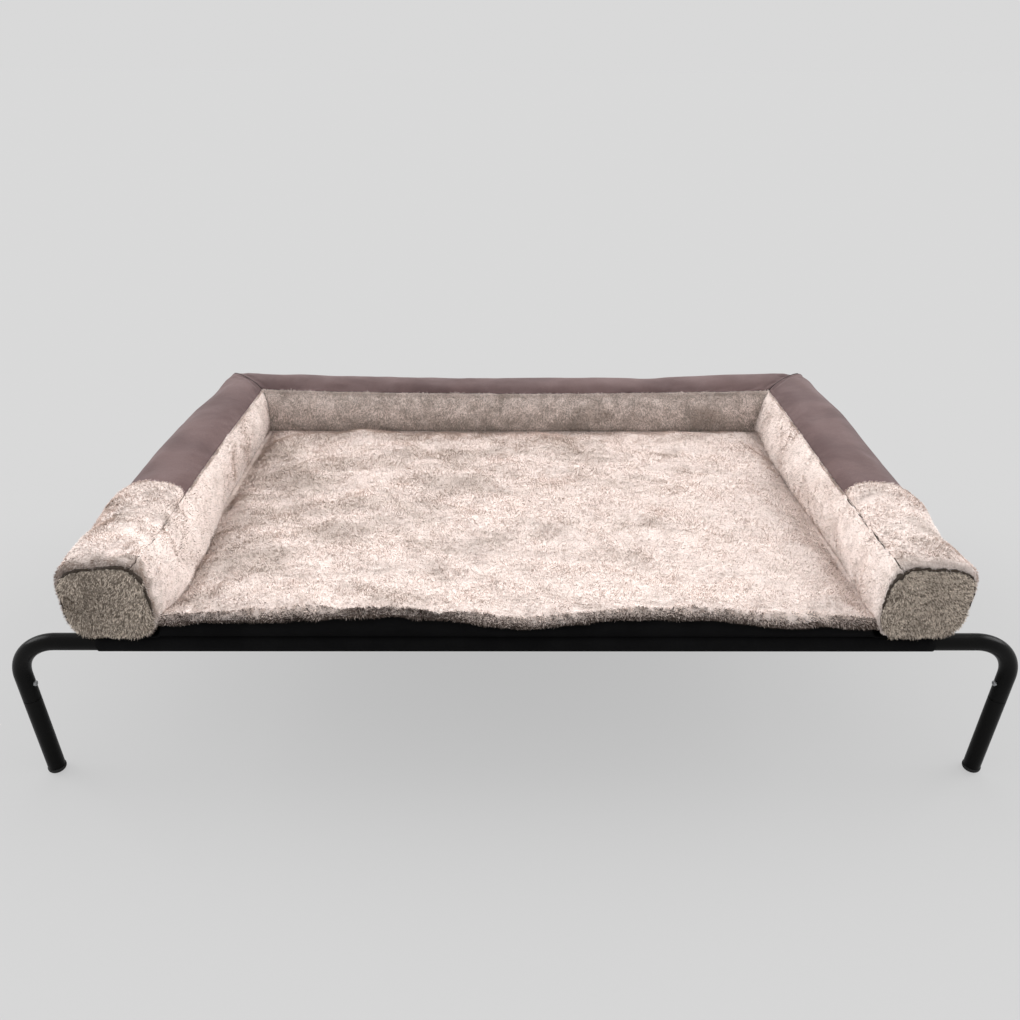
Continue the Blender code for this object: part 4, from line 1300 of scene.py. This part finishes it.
# Fur
def scatter(made, density, seed):
    """Roots spread over a panel's outer skin: places and normals."""
    mesh = made.data
    mesh.calc_loop_triangles()
    corners = values_of(mesh.loop_triangles, "vertices", np.int32).T
    a, b, c = values_of(mesh.vertices, "co")[corners]
    size = np.linalg.norm(np.cross(b - a, c - a), axis=1) / 2
    pick = np.random.default_rng(seed)
    count = int(size.sum() * (density * THIN))
    chosen = pick.choice(len(size), count, p=size / size.sum())
    s, t = pick.random((2, count, 1))
    flip = s + t > 1
    s, t = np.where(flip, 1 - s, s), np.where(flip, 1 - t, t)
    roots = a[chosen] + s * (b - a)[chosen] + t * (c - a)[chosen]
    na, nb, nc = values_of(mesh.vertex_normals, "vector")[corners[:, chosen]]
    return roots, unit(na + s * (nb - na) + t * (nc - na))


def far_from(points, path, distance):
    """Which points lie further than a distance from a seam's path."""
    keep = np.ones(len(points), bool)
    for spot in path:
        keep &= ((points - spot) ** 2).sum(1) > distance ** 2
    return keep


def blades(roots, up, comb, seed, length, lean, width):
    """Root, middle and tip of every blade, with its broad direction and half width."""
    pick = np.random.default_rng(seed)
    count = len(roots)
    comb = np.array(comb, float)
    flat = unit(comb - (comb * up).sum(1)[:, None] * up)
    swirl = sum(much * field(roots, size, seed + 1 + i) for i, (much, size) in enumerate(SWIRLS))
    way = turned(flat, np.cross(up, flat), swirl + pick.normal(0, TURN_SPREAD, count))
    side = np.cross(way, up)
    tilt = lean + pick.normal(0, TILT_SPREAD, count) + 0.15 * field(roots, 0.03, seed + 3)
    tilt = np.clip(tilt, *TILT_LIMITS)
    long = length * pick.uniform(*LENGTH_SPREAD, count) * (1 + 0.15 * field(roots, 0.04, seed + 4))
    middle = roots + turned(up, way, tilt * 0.75) * (long * 0.5)[:, None]
    tip = middle + turned(up, way, tilt * 1.15) * (long * 0.5)[:, None]
    broad = turned(side, up, pick.normal(0, ROLL_SPREAD, count))
    half = (width / 2 * pick.uniform(*WIDTH_SPREAD, count))[:, None]
    return roots - up * BLADE_ROOT, middle, tip, broad, half


def blade_mesh(name, points, facing):
    """Mesh of blades with five points each: a square below and a triangle above, shaded as told."""
    count = len(facing)
    mesh = bpy.data.meshes.new(name)
    mesh.vertices.add(count * 5)
    mesh.vertices.foreach_set("co", points.astype(np.float32).ravel())
    loops = (np.arange(count)[:, None] * 5 + np.array([[0, 1, 2, 3, 3, 2, 4]])).ravel()
    mesh.loops.add(len(loops))
    mesh.loops.foreach_set("vertex_index", loops.astype(np.int32))
    starts = (np.arange(count)[:, None] * 7 + np.array([[0, 4]])).ravel()
    mesh.polygons.add(count * 2)
    mesh.polygons.foreach_set("loop_start", starts.astype(np.int32))
    mesh.update(calc_edges=True)
    mesh.shade_smooth()
    mesh.normals_split_custom_set_from_vertices(np.repeat(facing, 5, axis=0).tolist())
    return mesh


def fur(name, roots, up, comb, material, seed, length, width, lean=0.95, soft=0.75, dark=0.1, tone=1.0,
        shade=0.0):
    """Pile of curved, tapering blades, shaded partly with the normals of the cloth under them."""
    start, middle, tip, broad, half = blades(roots, up, comb, seed, length, lean, width)
    count = len(roots)
    points = np.stack([start - broad * half, start + broad * half,
                       middle + broad * half * 0.9, middle - broad * half * 0.9, tip], axis=1)
    outward = unit(np.cross(broad, tip - start))
    below = (outward * up).sum(1) < 0
    outward = np.where(below[:, None], -outward, outward)
    order = np.where(below[:, None], np.array([[1, 0, 3, 2, 4]]), np.array([[0, 1, 2, 3, 4]]))
    points = np.take_along_axis(points, order[:, :, None], axis=1)
    soft, shade = (np.broadcast_to(value, count)[:, None] for value in (soft, shade))
    mesh = blade_mesh(name, points, unit(outward * (1 - soft) + up * soft))
    darkened = np.where(np.random.default_rng(seed + 5).random(count) < dark, DARK_BLADE, 1.0) * tone
    mark_reach(mesh, (np.array([BLADE_MARKS]) * darkened[:, None] - shade).ravel())
    return new_object(name, mesh, material, "pad")


def pile_roots(piece, kind, part, seams, seed):
    """Roots of a panel's pile, clear of the floor, the mat, the hem and the seams."""
    roots, up = scatter(piece, PILE[kind]["density"], seed)
    keep = roots[:, 2] > PAD_BASE + PILE_FLOOR
    if part == "inner":
        keep &= roots[:, 2] > MAT_TOP - INNER_BURIED
    if part == "top":
        keep &= ~on_hem(roots, seed)
        keep &= (np.abs(roots[:, 0]) < MAT_HALF + PILE_LAP) & (roots[:, 1] < MAT_BACK + PILE_LAP)
    for path, clear in seams.values():
        keep &= far_from(roots, path, clear)
    return roots[keep], up[keep]


def pile_shades(kind, roots, seed):
    """Shading of a panel's pile: darker where an arm's bends over the front edge, partly painted shade."""
    looks = PILE[kind]
    if kind not in ("plush", "inner"):
        return {"soft": looks["soft"], "dark": looks["dark"]}
    tone = front_tone(roots)
    dark = looks["dark"] + FRONT_DARK * (1 - tone)
    if kind == "inner":
        # Partly painted shade: an inner panel's pile darkens towards the back
        dark = dark + INNER_DARK * smooth(*INNER_DARKENS, roots[:, 1])
    spread = np.random.default_rng(seed + 8).uniform(*FRONT_SHADE_SPREAD, len(tone))
    return {"soft": FRONT_SOFT + (looks["soft"] - FRONT_SOFT) * tone, "dark": dark,
            "tone": LEAST_TONE + (1 - LEAST_TONE) * tone, "shade": front_shade(roots, tone) * spread}


def lay_pile(name, kind, roots, up, seed):
    """Pile of one panel, in as many pieces as its number of blades needs."""
    looks = PILE[kind]
    pieces = math.ceil(len(roots) / MAX_BLADES)
    for i in range(pieces):
        tail = f"_{i + 1}" if pieces > 1 else ""
        part = slice(i, None, pieces)
        fur(f"{name}_pile{tail}", roots[part], up[part], looks["comb"], TIPS[kind], seed + i,
            looks["length"], looks["width"], **pile_shades(kind, roots[part], seed + i))


def make_fur(parts, seams):
    """Pile on every plush panel, parted along the seams, and a longer fringe along the hem."""
    seed = 100
    for word, made in parts.items():
        for part, piece in made.items():
            if part == "suede":
                continue
            seed += 10
            kind = "back" if word == "back" else part
            roots, up = pile_roots(piece, kind, part, seams.get(word, {}), seed)
            lay_pile(f"{word}_{part}", kind, roots, up, seed)
        if word != "mat":
            tufts(word, made["inner"], seams[word], seed + 7)
    make_fringe(parts["mat"]["top"])


def tufts(word, piece, seams, seed):
    """Upright pile along the top edge of an inner panel, which hides its seam with the suede."""
    roots, up = scatter(piece, TUFT_DENSITY, seed)
    near = ~far_from(roots, seams["edge"][0], TUFT_REACH[word])
    fur(f"{word}_seam_tufts", roots[near], up[near], (0, -0.1, 1), PLUSH_TIPS, seed, TUFT_LENGTH,
        TUFT_WIDTH, lean=0.45, dark=0.12)


def on_hem(points, seed):
    """Which points lie on the mat's front roll, below an upper edge that is drawn unevenly."""
    blur = np.random.default_rng(seed).normal(0, FRINGE_EDGE_BLUR, len(points))
    edge = FRINGE_EDGE_WAVE * field(points, FRINGE_EDGE_SIZE, 61) + blur
    top = hem_height(points[:, 0]) + HEM_FRINGE + edge
    return (points[:, 1] < hem_front(points[:, 0]) + FRINGE_DEPTH) & (points[:, 2] < top)


def make_fringe(top):
    """Darker pile on the mat's open front roll, darkest below: partly painted shade, partly the black base
    cloth showing.
    """
    roots, up = scatter(top, FRINGE_DENSITY, 77)
    keep = on_hem(roots, 79) & (np.abs(roots[:, 0]) < MAT_HALF)
    roots, up = roots[keep], up[keep]
    height = roots[:, 2] - hem_height(roots[:, 0])
    blur = np.random.default_rng(80).normal(0, FRINGE_TONE_BLUR, len(roots))
    # Paler high on the roll and darker low on it, partly as painted shade
    tone = smooth(*FRINGE_PALES, height + blur)
    fur("mat_hem_fringe", roots, up, (0.1, -0.4, -1), FRINGE_TIPS, 78, FRINGE_LENGTH, FRINGE_WIDTH,
        lean=0.80, soft=0.35, dark=0.72 - 0.60 * tone, tone=0.15 + 0.85 * tone)


make_camera()
make_stage()
make_rails()
make_legs()
make_feet()
make_sling()
dress_frame()
parts, seams = make_pad()
make_fur(parts, seams)
